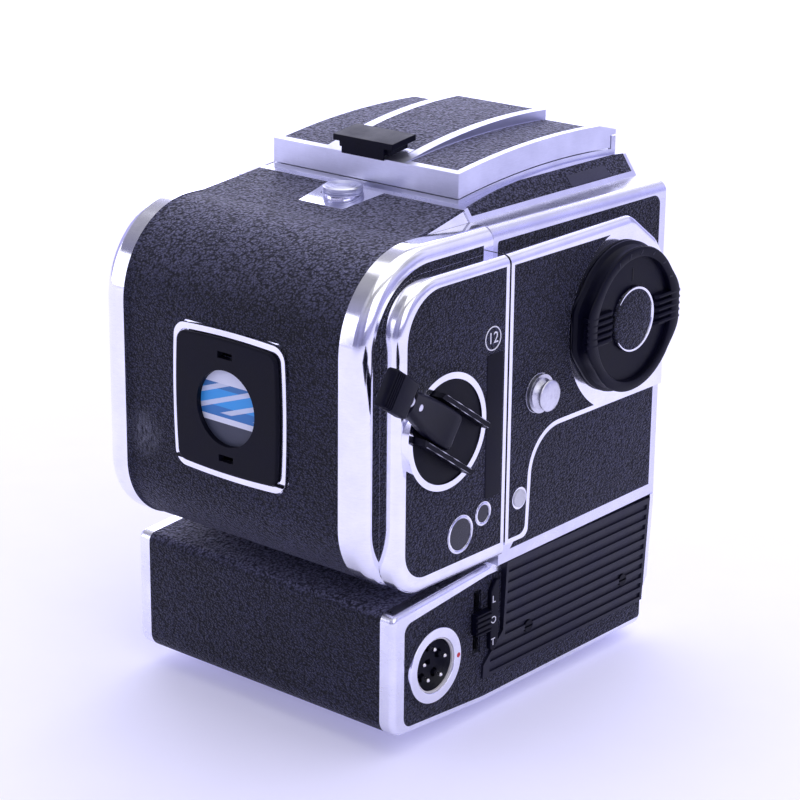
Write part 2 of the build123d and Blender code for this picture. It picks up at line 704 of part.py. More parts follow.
def body_skins(shell):
    """Leatherette that lies flush in the body: sides, shoulders and front."""
    upper, lower = side_regions()
    core_up, core_low = body_block(leather, base_h, ledge_z), low_block(leather)
    skins = []
    right = along_x(side_cover_outline(0), 0, -cover_x)
    for side, cover in ((-1, right), (1, along_x(left_cover_outline(0), 0, cover_x))):
        reach = (side * (half_width - 2), side * (half_width + 6))
        skins.append((shell & along_x(upper, *reach)) - core_up - low_block(0) - cover)
        skins.append((shell & along_x(lower, *reach)) - core_low)
    slopes = shell & shoulder_block(0) - shoulder_block(leather)
    for side in (-1, 1):
        skins.append(slopes & block(side * (hood_half + 1.4), side * (foot_x - 0.9), front_y + 1.2,
                                    seam_y - 1.7, base_z + ledge_z + 0.5, base_z + arch_top_z + 1))
    return skins


def body_casting(skins, shell):
    """Body shell: lens opening, mirror box bay, gate, screen opening and gear slot."""
    solid = shell
    for skin in skins:
        solid -= skin
    rear, front = seam_y - wall, front_y + panel_t + lens_wall
    inner = body_block(wall, base_h + wall, ledge_z - wall) & block(
        -cover_x, cover_x, front, rear, 0, base_z + ledge_z - wall)
    solid -= inner
    solid -= block(-panel_half, panel_half, front_y - 1, front_y + panel_t, base_z + panel_low,
                   base_z + panel_high)
    solid -= rod_y(0, axis_z, bayonet_r + 0.05, front_y - 1, front + 1)
    solid -= block(-gate / 2, gate / 2, rear - 1, seam_y + 1, base_z + lower_door_z + 0.5,
                   base_z + upper_door_z - 0.5)
    solid -= block(-screen_half - 0.3, screen_half + 0.3, seam_y - screen_front - 0.5,
                   seam_y - screen_rear + 0.5, base_z + ledge_z - wall - 1, base_z + arch_top_z + 2)
    idler = gear_centres()[1]
    solid -= block(idler[0] - gear_room, idler[0] + gear_room, seam_y - gear_front - 0.8,
                   seam_y - gear_front + gear_w + 0.8, body_z - 1, body_z + wall + 1)
    for side in (-1, 1):
        solid -= rod_x(*at(stud_y, stud_z), 1.55, side * (half_width - 4), side * (half_width + 1))
    solid -= rod_x(*at(dial_y, dial_z), 3.05, -half_width + 4, -half_width - 4)
    shaft = gear_centres()[2]
    solid -= rod_y(*shaft, shaft_r + 0.1, front_y, front_y + 6)
    solid -= rod_y(lens_button_x, base_z + lens_button_z, lens_stem_r + 0.05, front_y, front + 1)
    solid += rod_y(*shaft, 5.0, seam_y - gear_front + gear_w + 0.5, seam_y - gear_front + gear_w + 2.6)
    solid += block(-5, 5, seam_y - gear_front + gear_w + 0.5, seam_y - gear_front + gear_w + 2.6,
                   body_z + wall - 0.5, shaft[1])
    solid -= rod_y(*shaft, shaft_r + 0.05, front_y, seam_y - gear_front + gear_w + 3)
    keep("body_casting", solid)


def body_covers():
    """Raised covers on both sides with their leather, studs, signal window and rail."""
    face = side_cover_outline(0)
    block_out = body_shell()
    slab = along_x(face, -half_width + 1, -cover_x)
    top = [e for e in slab.faces().sort_by(Axis.X)[0].edges() if e.center().Z > base_z + cover_top_z - 15]
    right = fillet(top, cover_bevel)
    skin = along_x(side_cover_outline(cover_border), -cover_x + leather, -cover_x - 1) & slab
    skin -= rod_x(*at(collar_y, collar_z), collar_r, -half_width, -cover_x - 1)
    skin -= block(-cover_x - 1, -cover_x + 2, front_y, seam_y, base_z + cover_top_z - cover_bevel - 0.4,
                  base_z + ledge_z)
    skin = skin.solids().sort_by(SortBy.VOLUME)[-1]
    skin -= rod_x(*at(stud_y, stud_z), stud_base_r, -cover_x - 1, -cover_x + 2)
    skin -= rod_x(*at(signal_y, signal_z), signal_r + 0.6, -cover_x - 1, -cover_x + 2)
    right -= skin
    right -= block_out
    right -= rod_x(*at(signal_y, signal_z), signal_r, -cover_x - 1, -cover_x + 1)
    right -= rod_x(*at(stud_y, stud_z), 1.55, -cover_x - 1, -half_width + 2)
    right -= rod_x(*at(dial_y, dial_z), 3.05, -cover_x - 1, -half_width + 2)
    keep("right_cover", right)
    keep("signal_window", rod_x(*at(signal_y, signal_z), signal_r, -cover_x - 0.3, -cover_x + 1))
    slab = along_x(left_cover_outline(0), half_width - 1, cover_x)
    top = [e for e in slab.faces().sort_by(Axis.X)[-1].edges() if e.center().Z > base_z + cover_top_z - 10]
    left = fillet(top, cover_bevel)
    left_skin = along_x(left_cover_outline(cover_border), cover_x - leather, cover_x)
    left_skin -= rod_x(*at(stud_y, stud_z), stud_base_r, cover_x - 2, cover_x + 1)
    left_skin -= block(cover_x - 2, cover_x + 1, seam_y + rail_y - rail_l / 2,
                       seam_y + rail_y + rail_l / 2, base_z + rail_z - rail_w / 2,
                       base_z + rail_z + rail_w / 2)
    left -= left_skin
    left -= block_out
    left -= rod_x(*at(stud_y, stud_z), 1.55, half_width - 2, cover_x + 1)
    keep("left_cover", left)
    rail = block(cover_x, cover_x + rail_h, seam_y + rail_y - rail_l / 2,
                 seam_y + rail_y + rail_l / 2, base_z + rail_z - rail_w / 2, base_z + rail_z + rail_w / 2)
    rail -= block(cover_x + 1.0, cover_x + 2.4, seam_y + rail_y - rail_l / 2 + 2,
                  seam_y + rail_y + rail_l / 2 + 1, base_z + rail_z - rail_w / 2 + 1.2,
                  base_z + rail_z + rail_w / 2 - 1.2)
    rail -= block(cover_x + 1.0, cover_x + rail_h + 1, seam_y + rail_y - rail_l / 2 + 2,
                  seam_y + rail_y + rail_l / 2 + 1, base_z + rail_z - rail_w / 2 + 3.2,
                  base_z + rail_z + rail_w / 2 - 3.2)
    keep("accessory_rail", rail)
    studs = []
    for side in (-1, 1):
        y, z = at(stud_y, stud_z)
        x = side * cover_x
        stud = rod_x(y, z, 1.5, side * (half_width - 3), x)
        stud += rod_x(y, z, stud_base_r - 0.1, x, x + side * 1.2)
        stud += rod_x(y, z, stud_neck_r, x, x + side * 4.4)
        stud += Pos(x + side * 1.9, y, z) * Rot(0, side * 90, 0) * Cone(stud_cap_r + 0.6, stud_neck_r, 2.0)
        stud += rod_x(y, z, stud_cap_r, x + side * 3.0, x + side * stud_h)
        studs.append(stud)
    keep("strap_studs", *studs)
    return [skin, left_skin]


def mode_dial():
    """Dial with a sunk face, a middle cap and two ribbed grips."""
    y, z = at(dial_y, dial_z)
    x = -cover_x
    outer = x - dial_h - 0.1
    dial = rod_x(y, z, dial_r, x - 0.1, outer)
    rim = dial.faces().sort_by(Axis.X)[0].edges()
    dial = chamfer(rim, 1.4)
    dial -= rod_x(y, z, dial_recess_r, outer - 1, outer + dial_recess)
    dial += rod_x(y, z, dial_cap_r, outer + 0.5, outer + dial_recess + 1)
    for side in (-1, 1):
        grip = block(x - 0.6, outer - 0.2, y + side * (dial_cap_r + 1.4), y + side * (dial_r + 0.9),
                     z - grip_w / 2, z + grip_w / 2)
        for k in range(4):
            foot = z - grip_w / 2 + 1.2 + k * 2.0
            grip -= block(outer - 1, outer + 0.6, y - 25, y + 25, foot, foot + 1.0)
        dial += grip
    dial += rod_x(y, z, 3.0, x - 1, -half_width + 2.0)
    keep("mode_dial", dial)


def lens_mount():
    """Front panel, bayonet ring and lens release button."""
    z = axis_z
    shaft = gear_centres()[2]
    panel = block(-panel_half, panel_half, front_y, front_y + panel_t, base_z + panel_low,
                  base_z + panel_high)
    panel -= rod_y(0, z, bayonet_r + 0.4, front_y - 1, front_y + panel_t + 1)
    panel -= rod_y(lens_button_x, base_z + lens_button_z, lens_button_r + 0.1, front_y - 1,
                   front_y + panel_t + 1)
    skin = block(-panel_half + 2, panel_half - 2, front_y, front_y + leather, base_z + panel_low + 2,
                 base_z + panel_high - 2)
    skin -= rod_y(0, z, bayonet_r + 1.6, front_y - 1, front_y + 2)
    skin -= rod_y(lens_button_x, base_z + lens_button_z, lens_button_r + 1.5, front_y - 1, front_y + 2)
    panel -= skin
    keep("front_panel", panel)
    face = front_y + bayonet_set
    back = front_y + panel_t + lens_wall
    ring = rod_y(0, z, bayonet_r, face, back) - rod_y(0, z, throat_r, face - 1, back + 1)
    screw_at = (throat_r + bayonet_r) / 2
    for k in range(4):
        a = radians(45 + 90 * k)
        ring -= rod_y(screw_at * cos(a), z + screw_at * sin(a), 1.2, face - 1, face + 0.8)
    for k in range(3):
        turn = Pos(0, 0, z) * Rot(0, 20 + 120 * k, 0) * Pos(0, 0, -z)
        ring -= turn * block(-8, 8, face - 1, face + 1.0, z + throat_r - 1, z + throat_r + 1.6)
    ring -= rod_y(*shaft, shaft_r + 0.1, face - 1, back + 1)
    keep("lens_bayonet", ring)
    x, zb = lens_button_x, base_z + lens_button_z
    button = rod_y(x, zb, lens_button_r, front_y - 2.6, front_y + panel_t - gap - lens_button_travel)
    button = chamfer(button.faces().sort_by(Axis.Y)[0].edges(), 0.5)
    button += rod_y(x, zb, lens_stem_r, front_y - 1, back + 1.6)
    button += rod_y(x, zb, lens_stem_r + 0.9, back + 0.4, back + 1.8)
    keep("lens_release_button", button)
    return [skin]


def mirror_box():
    """Open box behind the bayonet with the bearings of mirror and shutter doors."""
    front = front_y + panel_t + lens_wall
    rear = seam_y - wall
    low, high = base_z + box_low, base_z + box_high
    box = block(-box_half - box_t, box_half + box_t, front, rear, low - box_t, high + screen_t)
    box -= block(-box_half, box_half, front - 1, rear + 1, low, high - 1.2)
    near, far = seam_y - screen_rear, seam_y - screen_front
    box -= block(-screen_half, screen_half, far, near, high, high + screen_t + 1)
    box -= block(-screen_half + 1.5, screen_half - 1.5, far + 1.5, near - 1.5, high - 2, high + 1)
    box -= block(-box_half, box_half, near + 0.5, rear + 1, low - box_t - 1, high + screen_t + 1)
    box += block(-box_half - 5, box_half + 5, front, front + 1.2, low - box_t, high + screen_t)
    box -= block(-box_half, box_half, front - 1, front + 2, low, high - 1.2)
    for y, z, r in ((mirror_hinge_y, mirror_hinge_z, hinge_pin_r), (door_y, upper_door_z, 0.6),
                    (door_y, lower_door_z, 0.6)):
        box -= rod_x(*at(y, z), r + 0.05, -box_half - 3, box_half + 3)
    keep("mirror_box", box)


def reflex_mirror():
    """Mirror and its carrier, at rest at 45 degrees below the screen."""
    y, z = at(mirror_hinge_y, mirror_hinge_z)
    pivot = Pos(0, y, z) * Rot(45, 0, 0) * Pos(0, -y, -z)
    half = mirror_w / 2
    carrier = block(-half - 0.8, half + 0.8, y - mirror_l - 2, y - 1.2, z - carrier_t - 0.4, z - 0.4)
    for side in (-1, 1):
        carrier += rod_x(y, z, 1.5, side * (half - 6), side * (half + 0.8))
        carrier += block(side * (half - 6), side * (half + 0.8), y - 1.6, y, z - carrier_t - 0.4, z)
        carrier += block(side * (half + 0.1), side * (half + 0.8), y - mirror_l - 2, y - 4, z - 1,
                         z + 0.5)
    carrier += rod_x(y, z, hinge_pin_r, -box_half - box_t, box_half + box_t)
    glass = block(-half, half, y - mirror_l - 1.5, y - 2.6, z - 0.4, z - 0.4 + mirror_t)
    keep("mirror_carrier", pivot * carrier)
    keep("reflex_mirror", pivot * glass)


def shutter_doors():
    """Two doors that close the light path in front of the film."""
    for name, z, side in (("upper", upper_door_z, -1), ("lower", lower_door_z, 1)):
        y, zc = at(door_y, z)
        door = block(-door_w / 2, door_w / 2, y - door_t / 2, y + door_t / 2, zc, zc + side * door_l)
        door += rod_x(y, zc, 0.6, -box_half - box_t, box_half + box_t)
        door += rod_x(y, zc, 0.75, -door_w / 2, door_w / 2)
        for x in (-door_w / 3, 0, door_w / 3):
            door += block(x - 2, x + 2, y - door_t / 2 - 0.4, y, zc + side * 2, zc + side * (door_l - 2))
        keep("shutter_door_" + name, door)


def focusing_screen():
    """Ground glass in its seat on top of the mirror box."""
    z = base_z + box_high
    screen = block(-screen_half + 0.05, screen_half - 0.05, seam_y - screen_front + 0.1,
                   seam_y - screen_rear - 0.1, z, z + screen_t)
    keep("focusing_screen", screen)


def hood_strip(low, high, x0, x1, y0, y1):
    """A piece of the arched layer between two heights above the body top."""
    return along_x(arch_strip(low, high, y0, y1), x0, x1)


def hood_frame():
    """Low frame around the screen that carries the flaps and the lid's pivot."""
    frame = hood_strip(0, hood_side_h, -hood_half, hood_half, hood_rear, hood_front)
    frame -= block(-hood_half + hood_t, hood_half - hood_t, seam_y + hood_front + hood_t,
                   seam_y + hood_rear - hood_t, base_z + ledge_z, base_z + lid_axis_z + 5)
    frame -= block(-hood_half + hood_t, hood_half - hood_t, seam_y + hood_front - 1,
                   seam_y + hood_front + 3, base_z + lid_axis_z - 0.9, base_z + lid_axis_z + 5)
    y, z = at(lid_axis_y, lid_axis_z)
    for side in (-1, 1):
        ear = block(side * (hood_half - hood_t), side * hood_half, seam_y + hood_front, y + 1.4,
                    z - 6, z + 1.0)
        frame += ear - hood_strip(-9, 0, -hood_half - 1, hood_half + 1, hood_rear, hood_front - 1)
    frame -= rod_x(y, z, 0.65, -hood_half - 1, hood_half + 1)
    keep("hood_frame", frame)


def hood_flaps():
    """Three flaps, mitred so that they fold into one layer."""
    z = base_z + flap_z
    x0 = hood_half - hood_t - 0.6
    y_rear, y_front = seam_y + hood_rear - hood_t - 0.6, seam_y + lid_axis_y
    h = flap_h
    side = outline([
        (x0, y_rear - 1.2), (x0 - h, y_rear - 1.2 - h), (x0 - h, y_front + 1.6 + h), (x0, y_front + 1.6)])
    rear = outline([(x0 - 1.2, y_rear), (-x0 + 1.2, y_rear), (-x0 + 1.2 + h, y_rear - h),
                    (x0 - 1.2 - h, y_rear - h)])
    flap = along_z(side, z - flap_t / 2, z + flap_t / 2)
    flap += rod_y(x0, z, 0.45, y_front + 2.4, y_rear - 2.0)
    keep("hood_flap_left", flap)
    keep("hood_flap_right", mirror_x(flap))
    back = along_z(rear, z - flap_t / 2, z + flap_t / 2)
    keep("hood_flap_rear", back + rod_x(y_rear, z, 0.45, -x0 + 2, x0 - 2))


def lid_plan(half_rear, half_front, y0, y1):
    """Plan of the lid's raised middle."""
    return along_z(outline([(-half_rear, seam_y + y0), (half_rear, seam_y + y0),
                            (half_front, seam_y + y1), (-half_front, seam_y + y1)]),
                   base_z + ledge_z, base_z + ledge_z + 40)


def lid_swell(low, high):
    """Layer of the lid from a plain height up to the swollen surface of its middle."""
    a, b, c = arch_arc(low, hood_rear, hood_front)
    d, e, f = arch_arc(high, hood_rear, hood_front, panel_rise)
    face = make_face([ThreePointArc(a, b, c), Line(c, f), ThreePointArc(f, e, d), Line(d, a)])
    return along_x(face, -hood_half, hood_half)


def hood_lid():
    """Domed lid whose middle swells forward between two ribs, and its leather."""
    low, top = hood_side_h + gap, hood_side_h + gap + lid_skirt_h
    back, front = hood_rear, hood_front
    lid = hood_strip(low, top, -hood_half, hood_half, back, front)
    lid -= hood_strip(low - 4, top - hood_t, -hood_half + hood_t, hood_half - hood_t,
                      back - hood_t, front + hood_t)
    r0, r1 = panel_half_rear, panel_half_front
    inside = lid_plan(r0 - 0.6, r1 - 0.6, back - 1.2, panel_front + 1.2)
    lid -= inside & hood_strip(low, top + 1, -hood_half, hood_half, back - 1.2, panel_front + 1.2)
    raised = lid_plan(r0 + 1.6, r1 + 1.6, back, panel_front) & lid_swell(top - hood_t, top)
    lid += raised - (inside & lid_swell(top - 8, top - hood_t))
    y, z = at(lid_axis_y, lid_axis_z)
    above = lid_front_z + 16
    lid -= along_x(outline([
        at(front - 1, above), at(front - 1, lid_front_z), at(panel_front - 0.4, lid_front_z + 2.9),
        at(panel_front - 0.4, above)]), -hood_half - 1, hood_half + 1)
    for side in (-1, 1):
        lid -= block(side * (hood_half - hood_t - gap), side * (hood_half + 1), seam_y + front - 1,
                     y + 1.9, z - 6, z + 1.4)
    lid -= block(-hood_half - 1, hood_half + 1, seam_y + front - 1, y + 0.9, z - 6, z + 1.1)
    lid += rod_x(y, z, 0.6, -hood_half, hood_half)
    for x in [hood_half * k / 4 for k in (-3, -1, 1, 3)]:
        lid += block(x - 2, x + 2, y - 0.5, y + 0.5, z, z + 2.2)
    middle = lid_plan(r0 - 1.6, r1 - 1.6, back - 2.4, panel_front + 2) & (
        lid_swell(top - hood_t, top + 0.05) - lid_swell(top - hood_t, top - 0.5))
    middle -= block(-catch_w / 2 - 0.6, catch_w / 2 + 0.6, seam_y + catch_rear - catch_l + 1, seam_y,
                    base_z + ledge_z, base_z + ledge_z + 30)
    skins = [middle]
    plan = lid_plan(r0 + 2.0, r1 + 2.0, back, panel_front)
    for side in (-1, 1):
        flank = hood_strip(top - 0.5, top + 0.05, side * 8, side * (hood_half - 2.2), back - 2.2,
                           panel_front + 1)
        flank -= plan
        skins.append(flank)
    keep("hood_lid_leather", *skins)
    mag_y, mag_z = at(magnifier_y, magnifier_z)
    for side in (-1, 1):
        lug = block(side * (magnifier_half + 0.4), side * (magnifier_half + 1.6), mag_y - 1.2,
                    mag_y + 1.2, mag_z - 1.2, base_z + arch_top_z + top - 0.6)
        lid += lug
    lid -= rod_x(mag_y, mag_z, 0.65, -magnifier_half - 3, magnifier_half + 3)
    for skin in skins:
        lid -= skin
    keep("hood_lid", lid)


def hood_catch():
    """Flat catch plate on a wedge that slides on the lid's rear edge."""
    top = hood_side_h + gap + lid_skirt_h
    low, high = top + catch_lift, top + catch_lift + 1.7
    half, rear = catch_w / 2, catch_rear
    catch = hood_strip(low, high, -half, half, rear, rear - catch_l)
    foot = hood_strip(top + 1.0, low + 0.2, -half, half, rear - 0.9, rear - catch_l + 1.6)
    section = outline([
        (-half + 2.2, base_z + ledge_z), (half - 2.2, base_z + ledge_z),
        (half - 1.0, base_z + ledge_z + 22), (-half + 1.0, base_z + ledge_z + 22)])
    catch += foot & along_y(section, seam_y + rear - catch_l, seam_y + rear)
    catch += hood_strip(top - 0.3, top + 1.2, -half + 3, half - 3, rear, hood_rear + 0.15)
    catch += hood_strip(top + 1.0, low + 0.2, -half + 3, half - 3, rear, rear - 1.4)
    keep("hood_catch", catch)


def magnifier():
    """Focusing magnifier that hangs level under the lid."""
    y, z = at(magnifier_y, magnifier_z)
    half = magnifier_half
    frame = block(-half, half, y - 1.2, y + 2 * half - 2, z - magnifier_t / 2, z + magnifier_t / 2)
    centre = y + half - 1
    frame -= rod_z(0, centre, magnifier_r, z - 5, z + 5)
    frame += rod_x(y, z, 0.6, -half - 1.6, half + 1.6)
    keep("magnifier_frame", frame)
    glass = rod_z(0, centre, magnifier_r, z - magnifier_t / 2 + 0.3, z + magnifier_t / 2 - 0.3)
    keep("magnifier_lens", glass)


def centre_profile(grow):
    """Side view of the magazine between its rims."""
    low, rear, top = mag_bottom_z + 0.6 - grow, mag_depth + grow, mag_top_z - 0.8 + grow
    return outline([
        at(0, low), (*at(rear, low), mag_bottom_r + grow), (*at(rear, top), mag_top_r + grow),
        at(22, top), at(0, mag_peak_z + grow)])


def rim_profile(inset):
    """Side view of the magazine's two rims."""
    low, rear, top = mag_bottom_z + inset, mag_depth + mag_rim_rise - inset, mag_top_z - inset
    return outline([
        at(inset, low), (*at(rear, low), mag_bottom_r + 1.5 - inset),
        (*at(rear, top), mag_top_r + 1.5 - inset), at(inset, top)])


def shoulder_section():
    """Front view of the magazine's raised top, which carries on the body's shoulders."""
    foot = foot_x - 0.4
    rise = mag_peak_z - ledge_z + 2
    top = foot - rise / tan(radians(shoulder_slope))
    side, z = mag_rim_x, base_z + ledge_z
    return along_y(outline([
        (-side, base_z), (side, base_z), (side, z - 0.5), (foot, z - 0.5), (foot, z), (top, z + rise),
        (-top, z + rise), (-foot, z), (-foot, z - 0.5), (-side, z - 0.5)]),
        seam_y - 1, seam_y + mag_depth + 9)


def catch_seat():
    """Sloping chrome seat of the magazine catch."""
    y0, y1 = 0.8, 15.0
    side = along_x(outline([
        at(y0, ledge_z - 2), at(y0, mag_peak_z + 0.8), at(y1, mag_peak_z - 1.4), at(y1, ledge_z - 2)]),
        -12, 12)
    plan = outline([(-10.0, seam_y + y0), (10.0, seam_y + y0), (7.7, seam_y + y1), (-7.7, seam_y + y1)])
    return side & along_z(plan, base_z + ledge_z - 3, base_z + mag_peak_z + 3)


def magazine_shell():
    """Hollow magazine with its rims, film gate and slide slot, and its leather."""
    rims = along_x(rim_profile(0), -half_width, half_width)
    sides = rims.faces().sort_by(Axis.X)
    edges = [e for e in sides[0].edges() + sides[-1].edges() if e.center().Y > seam_y + 1]
    rims = fillet(edges, mag_rim_r)
    middle = along_x(centre_profile(0), -mag_rim_x, mag_rim_x) & shoulder_section()
    rims -= block(-mag_rim_x, mag_rim_x, seam_y - 1, seam_y + mag_depth + 9, base_z, base_z + ledge_z + 9)
    shell = rims + middle
    skin = (along_x(centre_profile(leather), -mag_rim_x, mag_rim_x) & shoulder_section()) - middle
    skin -= block(-60, 60, seam_y - 1, seam_y + 0.5, 0, base_z + mag_peak_z + 9)
    seat = catch_seat() + rod_z(0, seam_y + catch_y, catch_r - 0.5, base_z + ledge_z - 1,
                                base_z + mag_peak_z + 0.8)
    shell += seat
    skin -= seat
    inner = along_x(rim_profile(mag_wall + 1.2), -half_width + mag_wall, half_width - mag_wall)
    shell -= inner
    shell -= along_x(rim_profile(mag_wall + 1.0), half_width - mag_wall - 1, half_width + 1)
    shell -= block(-gate / 2, gate / 2, seam_y - 1, seam_y + 9, axis_z - gate / 2,
                   axis_z + gate / 2)
    y0 = seam_y + slide_y - slide_t / 2 - 0.1
    shell -= block(-slide_w / 2, half_width + 1, y0, y0 + slide_t + 0.2, axis_z - slide_w / 2 + 1.8,
                   axis_z + slide_w / 2 - 1.8)
    shell -= rod_x(*at(crank_y, crank_z), 3.05, -half_width - 1, -half_width + mag_wall + 1)
    y, z = at(catch_y, 0)
    shell -= block(-2.2, mag_catch_travel + 2.2, y - 2.1, y + 2.1, z + ledge_z - 6, z + mag_peak_z + 2)
    half = card_frame_half
    skin -= block(-half, half, seam_y + mag_depth, seam_y + mag_depth + 2, base_z + card_z - half,
                  base_z + card_z + half)
    skin = skin.solids().sort_by(SortBy.VOLUME)[-1]
    groove = rim_groove()
    shell = (shell - groove).solids().sort_by(SortBy.VOLUME)[-1]
    keep("magazine_shell", shell)
    button = rod_z(0, y, catch_r, z + mag_peak_z + 1.0, z + mag_peak_z + 2.4)
    button = chamfer(button.faces().sort_by(Axis.Z)[-1].edges(), 0.5)
    for r in (2.0, 3.4):
        button -= rod_z(0, y, r + 0.3, z + mag_peak_z + 2.2, z + mag_peak_z + 3) - rod_z(
            0, y, r, z + mag_peak_z + 2, z + mag_peak_z + 3)
    button += rod_z(0, y, 2.0, z + ledge_z - 4.6, z + mag_peak_z + 1.2)
    button += rod_z(0, y, 2.8, z + ledge_z - 5.4, z + ledge_z - 3.6)
    keep("magazine_catch", button)
    return [skin, groove]


def mag_cover_outline(grow):
    """Side view of the magazine's raised right cover."""
    low, rear, high = cover_foot_z - grow, cover_rear + grow, cover_top_z + grow
    return outline([
        at(seam_gap, low), (*at(rear, low), 10.0 + grow), (*at(rear, high), 15.0 + grow),
        at(seam_gap, high)])


def rim_groove():
    """Leather strip between the raised cover and the rim on the magazine's right side."""
    strip = along_x(rim_profile(mag_rim_r + 0.3), -half_width, -half_width + leather)
    strip -= along_x(mag_cover_outline(0.02), -half_width - 1, -half_width + 1)
    strip -= block(-half_width - 1, -half_width + 1, seam_y - 1, seam_y + 1.6, base_z, base_z + ledge_z)
    return strip.solids().sort_by(SortBy.VOLUME)[-1]


def magazine_side():
    """Raised right cover of the magazine with crank ring and counter windows."""
    slab = along_x(mag_cover_outline(0), -half_width, -cover_x)
    rim = [e for e in slab.faces().sort_by(Axis.X)[0].edges() if e.center().Y > seam_y + 1]
    cover = fillet(rim, cover_bevel)
    cover -= along_x(outline([
        at(2.5, cover_foot_z + 4), (*at(cover_rear - 5, cover_foot_z + 4), 6.0),
        (*at(cover_rear - 5, cover_top_z - 4), 11.0), at(2.5, cover_top_z - 4)]),
        -half_width + 1, -cover_x + 1.8)
    rear = seam_gap + cover_border
    skin = along_x(outline([
        at(rear, cover_foot_z + 4.4), (*at(cover_rear - 3.3, cover_foot_z + 4.4), 8.0),
        (*at(cover_rear - 3.3, cover_top_z - 2.5), 13.0), at(rear, cover_top_z - 2.5)]),
        -cover_x + leather, -cover_x)
    y, z = at(crank_y, crank_z)
    cover += rod_x(y, z, crank_r, -cover_x + 1.5, -cover_x - crank_disc_h)
    skin -= rod_x(y, z, crank_r, -cover_x - 1, -cover_x + 2)
    cover -= skin
    cover -= rod_x(y, z, crank_r - 1.7, -cover_x + 0.4, -cover_x - 5)
    cover += rod_x(y, z, 5.0, -half_width, -cover_x + 1)
    cover -= rod_x(y, z, 3.05, -half_width + 1, -cover_x - 1)
    windows = []
    for yw, zw, r in ((counter_y, counter_z, counter_r), (wound_y, wound_z, wound_r)):
        hole = rod_x(*at(yw, zw), r + 0.9, -cover_x - 1, -cover_x + 1)
        skin -= hole
        cover -= rod_x(*at(yw, zw), r, -cover_x - 1, -cover_x + 0.9)
        windows.append(rod_x(*at(yw, zw), r, -cover_x + 0.2, -cover_x + 0.9))
        cover += rod_x(*at(yw, zw), r + 0.9, -cover_x, -cover_x + leather) - rod_x(
            *at(yw, zw), r, -cover_x - 1, -cover_x + 2)
    keep("magazine_cover", cover)
    keep("counter_windows", *windows)
    return skin


def crank_turned(shape):
    """Turn a crank piece, drawn level, to its stowed angle."""
    y, z = at(crank_y, crank_z)
    return Pos(0, y, z) * Rot(crank_angle, 0, 0) * Pos(0, -y, -z) * shape


def film_crank():
    """Disc with two fins, folding arm and knob of the film crank."""
    y, z = at(crank_y, crank_z)
    face = -cover_x - crank_disc_h + 0.4
    disc = rod_x(y, z, crank_r - 1.8, -cover_x + 0.3, face)
    disc += rod_x(y, z, 3.0, -half_width + mag_wall - 0.5, -cover_x + 0.4)
    reach = crank_r - 2.2
    for side in (-1, 1):
        fin = block(face + 0.5, face - crank_fin_h, y - reach, y + reach, z + side * fin_half,
                    z + side * (fin_half + 1.5))
        disc += fin & rod_x(y, z, reach, face + 1, face - crank_fin_h - 1)
    pivot_y, pivot_x = y + crank_pivot, face - heel_r - 0.3
    disc -= rod_z(pivot_x, pivot_y, 0.85, z - 10, z + 10)
    keep("crank_disc", crank_turned(disc))
    end = pivot_y + crank_arm_l
    knob_x = -cover_x - crank_disc_h - 5.4
    top = along_z(outline([
        (pivot_x + heel_r, pivot_y), (pivot_x + heel_r - 0.3, pivot_y + 8), (knob_x + 1.9, end),
        (knob_x - 1.6, end), (pivot_x - heel_r, pivot_y + 5), (pivot_x - heel_r, pivot_y)]),
        z - 6, z + 6)
    top += rod_z(pivot_x, pivot_y, heel_r, z - 6, z + 6)
    side = along_x(outline([
        (pivot_y - 4, z - fin_half + 0.6), (pivot_y + 3, z - fin_half + 0.6), (end, z - 3.2),
        (end, z + 3.2), (pivot_y + 3, z + fin_half - 0.6), (pivot_y - 4, z + fin_half - 0.6)]),
        -40, -80)
    arm = (top & side) + rod_z(pivot_x, pivot_y, 0.8, z - fin_half - 1.4, z + fin_half + 1.4)
    arm -= rod_y(knob_x, z, 1.05, end - 8, end + 1)
    keep("crank_arm", crank_turned(arm))
    knob = block(knob_x - 1.8, knob_x + 1.8, end + 0.5, end + 0.5 + knob_l, z - 4.9, z + 4.9)
    knob = fillet(knob.edges().filter_by(Axis.X), 1.0)
    knob += rod_y(knob_x, z, 1.0, end - 7.5, end + 1)
    keep("crank_knob", crank_turned(knob))


def bowed_square(half, corner_r):
    """Front view square with gently bowed sides, round the film card window."""
    c, z = half - card_bow, base_z + card_z
    face = make_face([
        ThreePointArc((-c, z - c), (0, z - half), (c, z - c)),
        ThreePointArc((c, z - c), (half, z), (c, z + c)),
        ThreePointArc((c, z + c), (0, z + half), (-c, z + c)),
        ThreePointArc((-c, z + c), (-half, z), (-c, z - c))])
    return fillet(face.vertices(), corner_r)


